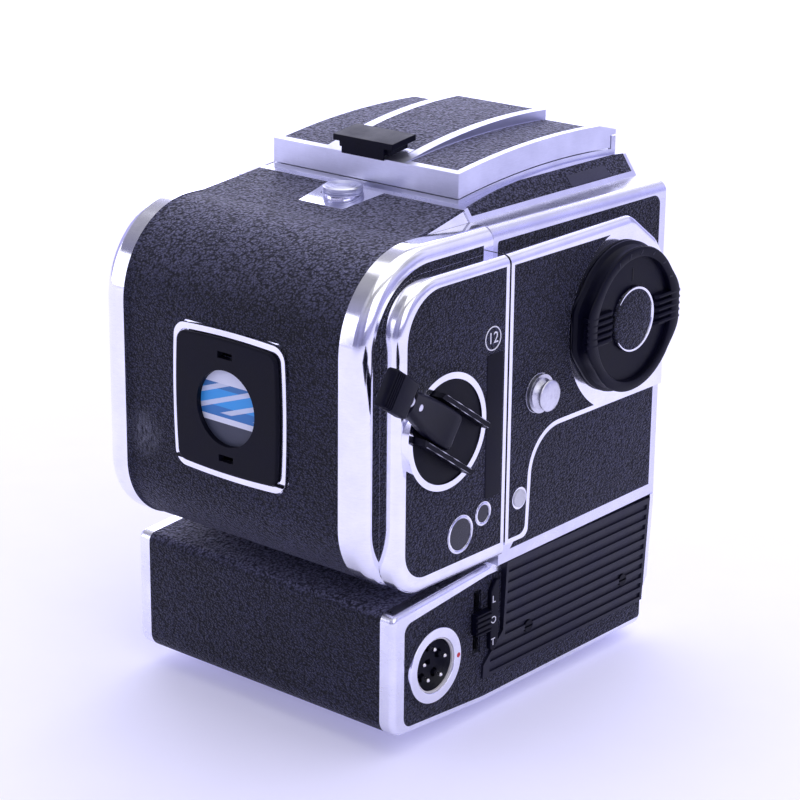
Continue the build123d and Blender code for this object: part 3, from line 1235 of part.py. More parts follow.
def card_window():
    """Film card frame on the magazine's rear, its hinged holder and the card."""
    y, z = at(mag_depth, card_z)
    half = card_plate_half
    hinge_z = z - half + card_plate_t / 2
    hinge_y = y + card_plate_t / 2 + 0.8
    ring = along_y(bowed_square(card_frame_half, 4.2), y, y + leather + 0.9)
    ring -= along_y(bowed_square(half + gap, 3.2), y - 1, y + 9)
    ring -= rod_x(hinge_y, hinge_z, 0.45, -card_frame_half - 1, card_frame_half + 1)
    keep("card_frame", ring)
    y0, y1 = hinge_y - card_plate_t / 2, hinge_y + card_plate_t / 2
    plate = along_y(bowed_square(half, 3.0), y0, y1)
    low = plate.edges().filter_by(GeomType.CIRCLE).sort_by(Axis.Z)[:2]
    plate = fillet(low, 0.7)
    plate -= rod_y(0, z - 0.3, card_window_r, y0 - 1, y1 + 1)
    for side in (-1, 1):
        zc = z + side * card_slot_z
        plate -= block(-2.6, 2.6, y0 - 1, y1 + 1, zc - 0.9, zc + 0.9)
    plate += rod_x(hinge_y, hinge_z, 0.4, -half - 0.9, half + 0.9)
    plate -= block(-card_w / 2 - 0.1, card_w / 2 + 0.1, y0 - 1, y0 + 0.5, z - card_h / 2 - 0.1,
                   z + card_h / 2 + 0.1)
    keep("card_holder", plate)
    keep("film_card", block(-card_w / 2, card_w / 2, y0 + 0.1, y0 + 0.4, z - card_h / 2, z + card_h / 2))


def film_insert():
    """Film carrier that slides out of the magazine's left side, and the dark slide."""
    profile_gap = mag_wall + 1.2
    frame = along_x(rim_profile(profile_gap - 0.05), half_width - mag_wall, half_width - 0.1)
    y0 = seam_y + film_set_back + 0.3
    plate_x, rear = spool_l / 2 + 2.2, mag_depth - 7.6
    end_face = outline([
        at(y0 - seam_y, mag_bottom_z + 7), (*at(rear, mag_bottom_z + 5), 10),
        (*at(rear, mag_top_z - 8), 14), at(y0 - seam_y, mag_top_z - 10)])
    for side in (-1, 1):
        frame += along_x(end_face, side * plate_x, side * (plate_x + 1.2))
    frame += block(-plate_x - 1.2, plate_x + 1.2, y0, y0 + 1.5, axis_z - gate / 2 - 3,
                   axis_z + gate / 2 + 3)
    low, high = base_z + mag_bottom_z + 17, base_z + mag_top_z - 22
    frame += block(plate_x, half_width - mag_wall + 0.5, y0 + 3, seam_y + rear - 5, low, high)
    frame -= block(plate_x + 2, half_width - mag_wall, y0 + 5, seam_y + rear - 7, low + 2, high - 2)
    for z in (supply_z, takeup_z):
        for side in (-1, 1):
            frame += rod_x(*at(spool_y, z), 1.95, side * (spool_l / 2 - 4), side * (plate_x + 0.5))
    y, z = seam_y + key_y, axis_z
    frame -= rod_x(y, z, key_r + 0.2, half_width - 1.2, half_width + 1)
    frame -= rod_x(y, z, 2.05, half_width - 6, half_width + 1)
    keep("insert_frame", frame)
    key = rod_x(y, z, key_r, half_width - 1.1, half_width + 0.4)
    key += block(half_width, half_width + 2.6, y - 1.4, y + 1.4, z - key_r + 0.8, z + key_r - 0.8)
    key += rod_x(y, z, 2.0, half_width - 4.5, half_width)
    keep("insert_key", key)
    for name, zc, roll in (("supply_spool", supply_z, roll_r), ("takeup_spool", takeup_z, 0)):
        spool = rod_x(*at(spool_y, zc), max(spool_r, roll), -spool_l / 2, spool_l / 2)
        for side in (-1, 1):
            spool += rod_x(*at(spool_y, zc), flange_r, side * spool_l / 2, side * (spool_l / 2 + 1.2))
        spool -= rod_x(*at(spool_y, zc), 2.0, -spool_l, spool_l)
        if roll == 0:
            spool -= block(-gate / 2 + 2, gate / 2 - 2, seam_y + spool_y - 0.5, seam_y + spool_y + 0.5,
                           base_z + zc + 1, base_z + zc + spool_r + 1)
        keep(name, spool)
    y, z = seam_y + slide_y, axis_z
    slide = block(-slide_w / 2 + 1, half_width + 1.5, y - slide_t / 2, y + slide_t / 2,
                  z - slide_w / 2 + 2, z + slide_w / 2 - 2)
    slide += block(half_width + 0.5, half_width + 5, y - 0.9, y + 0.9, z - slide_w / 2 + 2,
                   z + slide_w / 2 - 2)
    keep("dark_slide", slide)


def build():
    """Make every sub-part and write one STEP file for each node."""
    base_casting(tripod_plate(), base_skins())
    battery_drawer()
    lock_parts()
    remote_socket()
    release_buttons()
    drive_train()
    shell = body_shell()
    skins = body_skins(shell)
    body_casting(skins, shell)
    skins += body_covers()
    mode_dial()
    skins += lens_mount()
    keep("body_leather", *skins)
    mirror_box()
    reflex_mirror()
    shutter_doors()
    focusing_screen()
    hood_frame()
    hood_flaps()
    hood_lid()
    hood_catch()
    magnifier()
    keep("magazine_leather", *magazine_shell(), magazine_side())
    film_crank()
    card_window()
    film_insert()
    os.makedirs("parts", exist_ok=True)
    for name, shape in parts.items():
        export_step(shape, f"parts/{name}.step")


build()
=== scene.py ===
import json
import bmesh
import bpy
from math import atan2, cos, hypot, pi, radians, sin
from mathutils import Matrix, Vector

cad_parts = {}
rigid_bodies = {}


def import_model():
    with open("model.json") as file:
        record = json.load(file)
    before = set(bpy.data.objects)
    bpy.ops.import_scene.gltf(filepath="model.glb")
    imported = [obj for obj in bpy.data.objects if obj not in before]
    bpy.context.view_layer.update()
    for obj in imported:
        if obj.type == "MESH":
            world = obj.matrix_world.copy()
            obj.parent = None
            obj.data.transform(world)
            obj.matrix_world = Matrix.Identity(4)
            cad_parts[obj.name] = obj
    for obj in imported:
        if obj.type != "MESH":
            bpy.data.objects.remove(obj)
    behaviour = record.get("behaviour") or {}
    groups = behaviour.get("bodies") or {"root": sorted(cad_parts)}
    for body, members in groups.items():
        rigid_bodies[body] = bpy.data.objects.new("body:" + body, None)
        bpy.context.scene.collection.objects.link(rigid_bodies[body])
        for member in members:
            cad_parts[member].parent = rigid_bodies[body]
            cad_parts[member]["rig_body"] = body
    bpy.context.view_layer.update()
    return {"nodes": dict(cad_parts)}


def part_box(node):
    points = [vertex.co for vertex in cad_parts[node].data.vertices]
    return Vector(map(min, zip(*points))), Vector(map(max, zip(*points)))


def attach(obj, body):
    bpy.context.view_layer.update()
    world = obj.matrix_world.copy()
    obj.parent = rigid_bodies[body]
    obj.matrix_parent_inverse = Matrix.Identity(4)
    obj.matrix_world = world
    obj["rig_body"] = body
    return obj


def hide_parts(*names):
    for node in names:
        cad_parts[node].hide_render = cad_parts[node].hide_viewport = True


# Looks of the medium format camera: finishes, rounded edges, dial, crank details, marks and lights.
# Metres, in the model's own frame: the lens side is -Y, the magazine +Y, the crank side -X, up is +Z.

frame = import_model()
nodes = frame["nodes"]
MM = 0.001

# Places read from the frame
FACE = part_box("right_cover")[0].x          # outer face of the raised right cover
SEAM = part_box("magazine_cover")[0].y       # joint of body and magazine
BASE_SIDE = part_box("base_casting")[0].x
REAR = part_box("magazine_leather")[1].y
BASE_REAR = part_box("base_leather")[1].y

# Directions for one who looks at the right-hand side
OUT, UP, RIGHT = (-1, 0, 0), (0, 0, 1), (0, -1, 0)

# Camera, in metres and degrees, as the photograph was taken
EYE = (-0.4207, 0.5142, 0.2904)
TARGET = (0.0, 0.017975, 0.075185)
ROLL = 0.601
LENS_PX = 2452.83                          # focal length in pixels of the 800 pixel frame
FRAME_PX = 800
SENSOR = 36.0

# Colours, linear
LAVENDER_FLOOR = (0.80, 0.79, 0.97)
FLOOR_GLOW = 0.18
SKY_HIGH = (1.0, 0.99, 1.0)
SKY_LOW = (0.56, 0.55, 0.98)
CREASE, CREST = (0.0015, 0.0016, 0.0060), (0.026, 0.0275, 0.064)      # of the leather's grain
# The first of these is painted sheen: a pale bluish tone laid on upward-facing leather in place of glancing
# reflection. The second is for specks.
PAINTED_TOP_SHEEN, SPECK = (0.19, 0.19, 0.31), (0.20, 0.20, 0.24)                  # on the leather
PIT = (0.22, 0.22, 0.27)                                              # in the plating
SATIN = (0.86, 0.86, 0.97)
POLISHED = (0.88, 0.88, 0.97)
# The last colour is painted shade: pure black standing for the hollow of a dent.
GREY_SCUFF, PALE_SCUFF, PAINTED_DENT_SHADE = (0.16, 0.165, 0.21), (0.30, 0.30, 0.36), (0.0, 0.0, 0.0)
CARD_PALE, CARD_FOOT = (0.72, 0.75, 0.84), (0.03, 0.035, 0.06)
CARD_BLUES = (0.02, 0.17, 0.46), (0.03, 0.33, 0.75), (0.03, 0.17, 0.42)


# Materials

class Graph:
    """Short calls that make and wire the nodes of a material or of the world."""

    def __init__(self, owner, shader, **constants):
        owner.use_nodes = True
        self.owner = owner
        self.tree = owner.node_tree
        self.shader = self.tree.nodes[shader]
        self.put(self.shader, constants)

    def put(self, node, values):
        for key, value in values.items():
            socket = node.inputs[key.replace("_", " ")] if isinstance(key, str) else node.inputs[key]
            if isinstance(value, bpy.types.NodeSocket):
                self.tree.links.new(value, socket)
            else:
                socket.default_value = value
        return node

    def node(self, kind, values=None, **settings):
        made = self.tree.nodes.new("ShaderNode" + kind)
        for key, value in settings.items():
            setattr(made, key, value)
        return self.put(made, values or {})

    def place(self, stretch=(1, 1, 1), turn=(0, 0, 0)):
        coords = self.node("TexCoord").outputs["Object"]
        return self.node("Mapping", {"Vector": coords, "Scale": stretch, "Rotation": turn}).outputs[0]

    def noise(self, vector, scale, detail=2.0, rough=0.5, distortion=0.0):
        return self.node("TexNoise", {"Vector": vector, "Scale": scale, "Detail": detail,
                                      "Roughness": rough, "Distortion": distortion}).outputs[0]

    def span(self, value, low, high, to_low=0.0, to_high=1.0):
        return self.node("MapRange", {"Value": value, "From_Min": low, "From_Max": high,
                                      "To_Min": to_low, "To_Max": to_high}).outputs[0]

    def maths(self, what, a, b=0.0):
        return self.node("Math", {0: a, 1: b}, operation=what).outputs[0]

    def ramp(self, value, *stops):
        made = self.node("ValToRGB", {0: value})
        elements = made.color_ramp.elements
        while len(elements) < len(stops):
            elements.new(0.5)
        for element, (at, colour) in zip(elements, stops):
            element.position = at
            element.color = (*colour, 1.0)
        return made.outputs[0]

    def mix(self, factor, a, b):
        made = self.node("Mix", data_type="RGBA")
        self.put(made, {0: factor})
        for socket, value in ((made.inputs[6], a), (made.inputs[7], b)):
            if isinstance(value, bpy.types.NodeSocket):
                self.tree.links.new(value, socket)
            else:
                socket.default_value = (*value, 1.0)
        return made.outputs[2]

    def bump(self, height, distance, strength=1.0):
        made = self.node("Bump", {"Height": height, "Distance": distance, "Strength": strength})
        self.tree.links.new(made.outputs[0], self.shader.inputs["Normal"])

    def base(self, colour):
        self.tree.links.new(colour, self.shader.inputs["Base Color"])

    def rough(self, value):
        self.tree.links.new(value, self.shader.inputs["Roughness"])

    def spot(self, place, outer, inner):
        """One within a small ball round a place, falling to nothing outside it."""
        far = self.node("VectorMath", {0: self.node("TexCoord").outputs["Object"], 1: place},
                        operation="DISTANCE").outputs["Value"]
        return self.span(far, outer, inner)


def surface(name, **constants):
    """A material whose surface is one Principled shader."""
    return Graph(bpy.data.materials.new(name), "Principled BSDF", **constants)


def leatherette(name, light=1.0, veil=0.15, marks=()):
    """Black covering with pebbled grain: near black creases, bluish crests, specks, painted sheen on upward
    faces, scuffs and painted dent shade.

    The marks are (place, outer mm, inner mm, colour, share), the veil is the sheen's weight, and light
    scales the base colour, a painted brightening where it is above one.
    """
    g = surface(name, IOR=1.5, Specular_IOR_Level=0.24, Sheen_Weight=veil, Sheen_Roughness=0.32,
                Sheen_Tint=(0.72, 0.72, 1.0, 1.0))
    vector = g.place((1.0, 1.0, 1.6), (0.12, 0.22, 0.0))
    warp = g.noise(vector, 330, 2)
    bent = g.node("CombineXYZ", {0: g.maths("MULTIPLY", warp, 0.0016),
                                 1: g.maths("MULTIPLY", warp, 0.0011),
                                 2: g.maths("MULTIPLY", warp, -0.0013)}).outputs[0]
    shifted = g.node("VectorMath", {0: vector, 1: bent}, operation="ADD").outputs[0]
    grain = g.node("TexVoronoi", {"Vector": shifted, "Scale": 1300.0, "Smoothness": 0.4},
                   feature="SMOOTH_F1").outputs["Distance"]
    folds = g.noise(shifted, 800, 3, 0.55, 0.6)
    fine = g.noise(g.place(), 5200, 2)
    height = g.maths("ADD", g.maths("MULTIPLY", grain, -1.0), g.maths("MULTIPLY", folds, 1.1))
    height = g.maths("ADD", height, g.maths("MULTIPLY", fine, 0.10))
    broad = g.noise(g.place(), 38, 3)
    # Where light is above one, the whole covering's colour is lifted: a painted brightening for a surface
    # that catches more light.
    dark, pale = [c * light for c in CREASE], [c * light for c in CREST]
    tone = g.ramp(g.span(g.maths("ADD", height, g.maths("MULTIPLY", broad, 0.35)), -0.15, 0.75),
                  (0.36, dark), (0.86, pale))
    specks = g.span(g.noise(g.place(), 1900, 2), 0.80, 0.84)
    tone = g.mix(g.maths("MULTIPLY", specks, 0.35), tone, SPECK)
    # Painted sheen: upward-facing leather, most on the grain's crests, is mixed towards a pale bluish tone
    # that stands in for glancing reflection.
    facing = g.node("SeparateXYZ", {0: g.node("TexCoord").outputs["Normal"]}).outputs[2]
    painted_sheen = g.maths("MULTIPLY", g.span(facing, 0.25, 0.95, 0.0, 0.9), g.span(height, -0.1, 0.55, 0.08, 1.0))
    tone = g.mix(painted_sheen, tone, PAINTED_TOP_SHEEN)
    for place, outer, inner, colour, share in marks:
        worn = g.span(g.noise(g.place((1, 1, 0.35), (0, 0.5, 0)), 1400, 3, 0.7), 0.40, 0.66)
        mask = g.maths("MULTIPLY", g.spot(place, outer * MM, inner * MM), worn)
        tone = g.mix(g.maths("MULTIPLY", mask, share), tone, colour)
    g.base(tone)
    g.rough(g.span(height, -0.3, 0.6, 0.66, 0.44))
    g.bump(height, 0.00055, 1.0)
    return g.owner


def chrome(name, colour, rough_low, rough_high, brushed=0.0):
    """Plated metal with uneven polish, faint wipe marks and tiny pits."""
    g = surface(name, Metallic=1.0)
    cloud = g.noise(g.place(), 95, 4, 0.6)
    wipes = g.noise(g.place((1, 1, 9), (0.3, 0.2, 0.1)), 420, 3, 0.6)
    pits = g.span(g.noise(g.place(), 2400, 2), 0.78, 0.82)
    uneven = g.maths("ADD", g.maths("MULTIPLY", cloud, 0.7), g.maths("MULTIPLY", wipes, 0.3))
    dim = [c * 0.86 for c in colour]
    g.base(g.mix(g.maths("MULTIPLY", pits, 0.5), g.ramp(uneven, (0.30, dim), (0.62, colour)), PIT))
    g.rough(g.span(uneven, 0.3, 0.7, rough_high, rough_low))
    g.bump(g.maths("ADD", g.maths("MULTIPLY", wipes, brushed), cloud), 0.00001, 0.35)
    return g.owner


def moulded(name, dark, pale, rough_low=0.38, rough_high=0.55, gloss=0.4, grain=2600, depth=0.00004):
    """Moulded or painted surface with a fine grain and worn, paler patches."""
    g = surface(name, IOR=1.49, Specular_IOR_Level=gloss)
    fine = g.noise(g.place(), grain, 2)
    cloud = g.noise(g.place(), 120, 4, 0.6)
    g.base(g.ramp(g.maths("ADD", g.maths("MULTIPLY", fine, 0.4), g.maths("MULTIPLY", cloud, 0.6)),
                  (0.32, dark), (0.68, pale)))
    g.rough(g.span(cloud, 0.3, 0.7, rough_low, rough_high))
    g.bump(fine, depth, 0.5)
    return g.owner


def metal(name, dark, pale, rough_low=0.25, rough_high=0.45, stretch=(1, 1, 1), depth=0.00002):
    """Bare machined metal."""
    g = surface(name, Metallic=1.0)
    turned = g.noise(g.place(stretch), 700, 3, 0.6)
    cloud = g.noise(g.place(), 90, 3)
    g.base(g.ramp(g.maths("ADD", g.maths("MULTIPLY", turned, 0.5), g.maths("MULTIPLY", cloud, 0.5)),
                  (0.35, dark), (0.65, pale)))
    g.rough(g.span(turned, 0.3, 0.7, rough_low, rough_high))
    g.bump(turned, depth, 0.4)
    return g.owner


def glass(name, colour, rough=0.03, transmission=0.9):
    g = surface(name, IOR=1.5, Transmission_Weight=transmission)
    haze = g.noise(g.place(), 160, 3)
    g.base(g.ramp(haze, (0.3, [c * 0.93 for c in colour]), (0.7, colour)))
    g.rough(g.span(haze, 0.3, 0.7, rough, rough + 0.05))
    return g.owner


def printed_card():
    """Plain two-colour card: pale and blue blocks with slanted bands and a dark foot."""
    g = surface("card_print", IOR=1.45)
    low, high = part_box("film_card")
    parts = g.node("SeparateXYZ", {0: g.node("TexCoord").outputs["Object"]})
    u = g.span(parts.outputs[0], low.x, high.x)
    v = g.span(parts.outputs[2], low.z, high.z)
    slant = g.maths("FRACT", g.maths("ADD", g.maths("MULTIPLY", v, 6.2), g.maths("MULTIPLY", u, 2.4)))
    stripe = g.maths("MULTIPLY", g.maths("GREATER_THAN", slant, 0.66), g.span(v, 0.40, 0.41))
    field = g.ramp(v, (0.0, CARD_FOOT), (0.30, CARD_PALE), (0.36, CARD_BLUES[0]),
                   (0.47, CARD_BLUES[1]), (0.66, CARD_BLUES[2]), (0.72, CARD_PALE))
    field.node.color_ramp.interpolation = "CONSTANT"
    tone = g.mix(g.maths("MULTIPLY", stripe, 0.8), field, CARD_PALE)
    fibre = g.noise(g.place(), 2200, 2)
    g.base(g.mix(g.maths("MULTIPLY", fibre, 0.10), tone, (0.3, 0.32, 0.38)))
    g.rough(g.span(fibre, 0.3, 0.7, 0.4, 0.6))
    g.bump(fibre, 0.00002, 0.3)
    return g.owner


REAR_MARKS = (((0.0325, REAR, 0.0755), 8.0, 1.5, GREY_SCUFF, 0.75),
              ((0.0262, REAR, 0.1195), 0.6, 0.2, PALE_SCUFF, 0.9),
              ((0.0175, REAR, 0.1165), 0.5, 0.2, PALE_SCUFF, 0.8),
              ((-0.0050, REAR, 0.1190), 0.5, 0.2, PALE_SCUFF, 0.8))
# On the base, the first mark is painted shade, a black spot for a dent's hollow, and the second is a grey
# scuff.
BASE_MARKS = (((-0.0223, BASE_REAR, 0.0123), 1.4, 0.6, PAINTED_DENT_SHADE, 1.0),
              ((-0.0034, BASE_REAR, 0.0132), 0.9, 0.3, GREY_SCUFF, 0.8))
finish = {
    "leather": leatherette("leatherette_fine"),
    "leather_rear": leatherette("leatherette_rear", marks=REAR_MARKS),
    "leather_base": leatherette("leatherette_base", marks=BASE_MARKS),
    # The lid's leather is painted 1.2 times lighter, standing in for the glancing light on the top, besides
    # its stronger sheen.
    "leather_top_painted_lit": leatherette("leatherette_top_painted_lit", 1.2, 0.26),
    "satin": chrome("satin_chrome", SATIN, 0.20, 0.32, 0.3),
    "polished": chrome("polished_chrome", POLISHED, 0.07, 0.17, 0.2),
    "hood": chrome("hood_satin", (0.66, 0.67, 0.82), 0.28, 0.42, 0.3),
    "body": chrome("body_satin", (0.74, 0.74, 0.88), 0.22, 0.34, 0.3),
    "plastic": moulded("black_plastic_fine", (0.001, 0.001, 0.005), (0.004, 0.004, 0.014), 0.30, 0.46, 0.10),
    "ribbed": moulded("black_ribbed", (0.003, 0.003, 0.010), (0.010, 0.010, 0.028), 0.42, 0.55, 0.30),
    "black_paint": moulded("black_paint", (0.001, 0.001, 0.004), (0.004, 0.004, 0.012), 0.40, 0.55, 0.12),
    "pane": moulded("counter_pane", (0.010, 0.010, 0.018), (0.022, 0.022, 0.036), 0.10, 0.18, 0.4),
    "badge": moulded("badge_enamel", (0.020, 0.020, 0.040), (0.045, 0.045, 0.080), 0.35, 0.5, 0.4),
    "dark_gap": moulded("dark_gap", (0.001, 0.001, 0.002), (0.004, 0.004, 0.007), 0.6, 0.7),
    "white_paint": moulded("white_paint", (0.66, 0.66, 0.70), (0.80, 0.80, 0.84), 0.4, 0.5),
    "red_paint": moulded("red_paint", (0.45, 0.02, 0.03), (0.65, 0.04, 0.05), 0.35, 0.45),
    "cream": moulded("cream_insulator", (0.62, 0.60, 0.58), (0.78, 0.76, 0.74), 0.4, 0.5),
    "cells": moulded("cell_wrap_grain", (0.02, 0.06, 0.20), (0.05, 0.12, 0.34), 0.3, 0.4),
    "film": moulded("film_roll", (0.018, 0.018, 0.016), (0.05, 0.05, 0.045), 0.35, 0.5),
    "signal": moulded("signal_disc", (0.50, 0.50, 0.54), (0.66, 0.66, 0.70), 0.25, 0.35),
    "steel": metal("machined_steel", (0.50, 0.50, 0.56), (0.74, 0.74, 0.80)),
    "sheet": metal("sheet_steel", (0.45, 0.45, 0.48), (0.60, 0.60, 0.64), 0.2, 0.35, (1, 12, 1)),
    "worn_edge": metal("worn_edge", (0.20, 0.20, 0.24), (0.75, 0.75, 0.82), 0.25, 0.5),
    "contact": metal("contact_silver", (0.62, 0.60, 0.58), (0.84, 0.83, 0.82), 0.15, 0.3),
    "brass": metal("gear_brass_turned", (0.48, 0.36, 0.16), (0.66, 0.52, 0.26)),
    "glass": glass("clear_window", (0.90, 0.91, 0.95)),
    "ground": glass("ground_screen", (0.80, 0.82, 0.84), 0.35, 0.7),
    "mirror": metal("front_mirror", (0.80, 0.81, 0.84), (0.88, 0.89, 0.92), 0.01, 0.03, depth=0.000001),
    "card": printed_card(),
}


# Mesh helpers

def link(name, mesh, body, material, smooth=35.0):
    """Show a finished mesh as a piece that rides on a body."""
    piece = bpy.data.objects.new(name, mesh)
    bpy.context.scene.collection.objects.link(piece)
    mesh.materials.clear()
    mesh.materials.append(finish[material])
    mesh.shade_smooth()
    mesh.set_sharp_from_angle(angle=radians(smooth))
    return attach(piece, body)


def from_bmesh(bm, name):
    bmesh.ops.recalc_face_normals(bm, faces=bm.faces)
    mesh = bpy.data.meshes.new(name)
    bm.to_mesh(mesh)
    bm.free()
    return mesh


def rounded(node, material, width, segments=2, sharp=24.0):
    """A copy of a CAD node with its edges rounded, which stands for the node."""
    source = nodes[node]
    bm = bmesh.new()
    bm.from_mesh(source.data)
    bmesh.ops.remove_doubles(bm, verts=bm.verts, dist=0.002 * MM)
    bmesh.ops.dissolve_limit(bm, angle_limit=radians(0.6), verts=bm.verts, edges=bm.edges)
    edges = [e for e in bm.edges if e.is_manifold and e.calc_face_angle(0) > radians(sharp)]
    bmesh.ops.bevel(bm, geom=edges, offset=width * MM, segments=segments, profile=0.5,
                    affect="EDGES", clamp_overlap=True, loop_slide=True)
    mesh = from_bmesh(bm, node + "_rounded")
    piece = link(node + "_rounded", mesh, source["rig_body"], material)
    weigh = piece.modifiers.new("weighted", "WEIGHTED_NORMAL")
    weigh.keep_sharp = True
    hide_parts(node)
    return piece


def dress(node, material):
    """Give a CAD node that stays a procedural finish."""
    for slot in nodes[node].material_slots:
        slot.material = finish[material]


def turned(name, rings, centre, body, material, axis="X", steps=96, slot=None):
    """A turned piece: rings of (radius, distance along the axis), closed at both ends."""
    bm = bmesh.new()
    loops = []
    for radius, along in rings:
        loop = []
        for k in range(steps):
            a = 2 * pi * k / steps
            loop.append(bm.verts.new(spin_point(centre, radius, a, along, axis)))
        loops.append(loop)
    for a, b in zip(loops, loops[1:]):
        for k in range(steps):
            bm.faces.new((a[k], a[(k + 1) % steps], b[(k + 1) % steps], b[k]))
    bm.faces.new(loops[0])
    bm.faces.new(loops[-1])
    return link(name, from_bmesh(bm, name), body, material)


def spin_point(centre, radius, angle, along, axis):
    c, s = radius * cos(angle), radius * sin(angle)
    offset = {"X": (along, c, s), "Y": (c, along, s), "Z": (c, s, along)}[axis]
    return Vector(centre) + Vector(offset)


def fill_between(name, rings, body, material):
    """Skin over closed rings of points, capped at both ends."""
    bm = bmesh.new()
    loops = [[bm.verts.new(p) for p in ring] for ring in rings]
    count = len(rings[0])
    for a, b in zip(loops, loops[1:]):
        for k in range(count):
            bm.faces.new((a[k], a[(k + 1) % count], b[(k + 1) % count], b[k]))
    bm.faces.new(loops[0])
    bm.faces.new(loops[-1])
    return link(name, from_bmesh(bm, name), body, material)


def ribbon(name, points, width, lift, normal, body, material, closed=False):
    """A raised line that follows points on a surface, with the given width and height."""
    normal = Vector(normal).normalized()
    bm = bmesh.new()
    count = len(points)
    rows = []
    for k, point in enumerate(points):
        before = points[(k - 1) % count] if closed or k else points[k]
        after = points[(k + 1) % count] if closed or k < count - 1 else points[k]
        side = (Vector(after) - Vector(before)).normalized().cross(normal)
        w = width(k / (count - 1)) if callable(width) else width
        low = Vector(point) - normal * lift
        high = Vector(point) + normal * lift
        rows.append([bm.verts.new(p) for p in (low + side * w / 2, high + side * w * 0.35,
                                               high - side * w * 0.35, low - side * w / 2)])
    last = count if closed else count - 1
    for k in range(last):
        a, b = rows[k], rows[(k + 1) % count]
        for j in range(4):
            bm.faces.new((a[j], a[(j + 1) % 4], b[(j + 1) % 4], b[j]))
    if not closed:
        bm.faces.new(rows[0])
        bm.faces.new(rows[-1])
    return link(name, from_bmesh(bm, name), body, material)


def marking(name, text, size, centre, right, up, body, material="white_paint"):
    """Flat printed characters on a face, centred on a point."""
    curve = bpy.data.curves.new(name, "FONT")
    curve.body = text
    curve.size = size
    curve.align_x = "CENTER"
    curve.align_y = "CENTER"
    curve.extrude = 0.04 * MM
    curve.resolution_u = 6
    holder = bpy.data.objects.new(name + "_curve", curve)
    bpy.context.scene.collection.objects.link(holder)
    bpy.context.view_layer.update()
    mesh = bpy.data.meshes.new_from_object(holder.evaluated_get(bpy.context.evaluated_depsgraph_get()))
    bpy.data.objects.remove(holder)
    right, up = Vector(right).normalized(), Vector(up).normalized()
    out = right.cross(up)
    turn = Matrix((right, up, out)).transposed().to_4x4()
    mesh.transform(Matrix.Translation(centre) @ turn)
    return link(name, mesh, body, material)


def circle(centre, radius, start, end, steps, axis="X"):
    """Points of an arc about an axis, angles in degrees."""
    return [spin_point(centre, radius, radians(start + (end - start) * k / steps), 0, axis)
            for k in range(steps + 1)]


# Carried-over nodes

CAD_FINISH = {
    "tripod_plate": "steel", "tripod_plate_screws": "steel", "battery_cover_screws": "black_paint",
    "battery_tray": "black_paint", "battery_cells": "cells", "motor": "steel",
    "motor_pinion": "brass", "idler_gear": "brass", "lens_drive_shaft": "steel",
    "signal_window": "signal", "mirror_box": "black_paint", "mirror_carrier": "black_paint",
    "reflex_mirror": "mirror", "shutter_door_upper": "black_paint",
    "shutter_door_lower": "black_paint", "focusing_screen": "ground",
    "hood_flap_left": "black_paint", "hood_flap_right": "black_paint",
    "hood_flap_rear": "black_paint", "magnifier_lens": "glass", "counter_windows": "pane",
    "film_card": "card", "dark_slide": "sheet", "insert_frame": "black_paint",
    "takeup_spool": "plastic", "supply_spool": "film", "base_leather": "leather_base",
    "body_leather": "leather", "magazine_leather": "leather_rear", "hood_lid_leather": "leather_top_painted_lit",
    "remote_socket_core": "black_paint",
}
ROUNDED = {                                # node: (finish, edge radius in mm, material slot)
    "base_casting": ("satin", 0.30, "cast_body"),
    "body_casting": ("body", 0.22, "cast_body"),
    "magazine_shell": ("polished", 0.22, "cast_body"),
    "magazine_cover": ("polished", 0.30, "cast_body"),
    "right_cover": ("polished", 0.20, "cast_body"),
    "left_cover": ("polished", 0.20, "cast_body"),
    "front_panel": ("satin", 0.15, "cast_body"),
    "hood_frame": ("hood", 0.15, "cast_body"),
    "hood_lid": ("hood", 0.45, "cast_body"),
    "card_frame": ("polished", 0.40, "cast_body"),
    "battery_cover": ("ribbed", 0.14, "black_plastic"),
    "lock_plate": ("plastic", 0.25, "black_plastic"),
    "lock_lever": ("plastic", 0.12, "black_plastic"),
    "remote_socket_ring": ("polished", 0.25, "chrome_trim"),
    "release_button_right": ("polished", 0.25, "chrome_trim"),
    "release_button_left": ("polished", 0.25, "chrome_trim"),
    "strap_studs": ("steel", 0.45, "steel"),
    "accessory_rail": ("polished", 0.15, "chrome_trim"),
    "lens_bayonet": ("polished", 0.20, "chrome_trim"),
    "lens_release_button": ("polished", 0.25, "chrome_trim"),
    "hood_catch": ("plastic", 0.30, "black_plastic"),
    "magnifier_frame": ("plastic", 0.25, "black_plastic"),
    "magazine_catch": ("hood", 0.12, "chrome_trim"),
    "card_holder": ("black_paint", 0.25, "black_metal"),
    "crank_disc": ("black_paint", 0.20, "black_plastic"),
    "insert_key": ("polished", 0.25, "chrome_trim"),
}


shown = {}                                 # the rounded copy of each node


def carried_over():
    """Finish every CAD node that stays, and stand rounded copies in for the others."""
    for node, material in CAD_FINISH.items():
        dress(node, material)
    for node, (material, width, slot) in ROUNDED.items():
        shown[node] = rounded(node, material, width)


# Mode dial

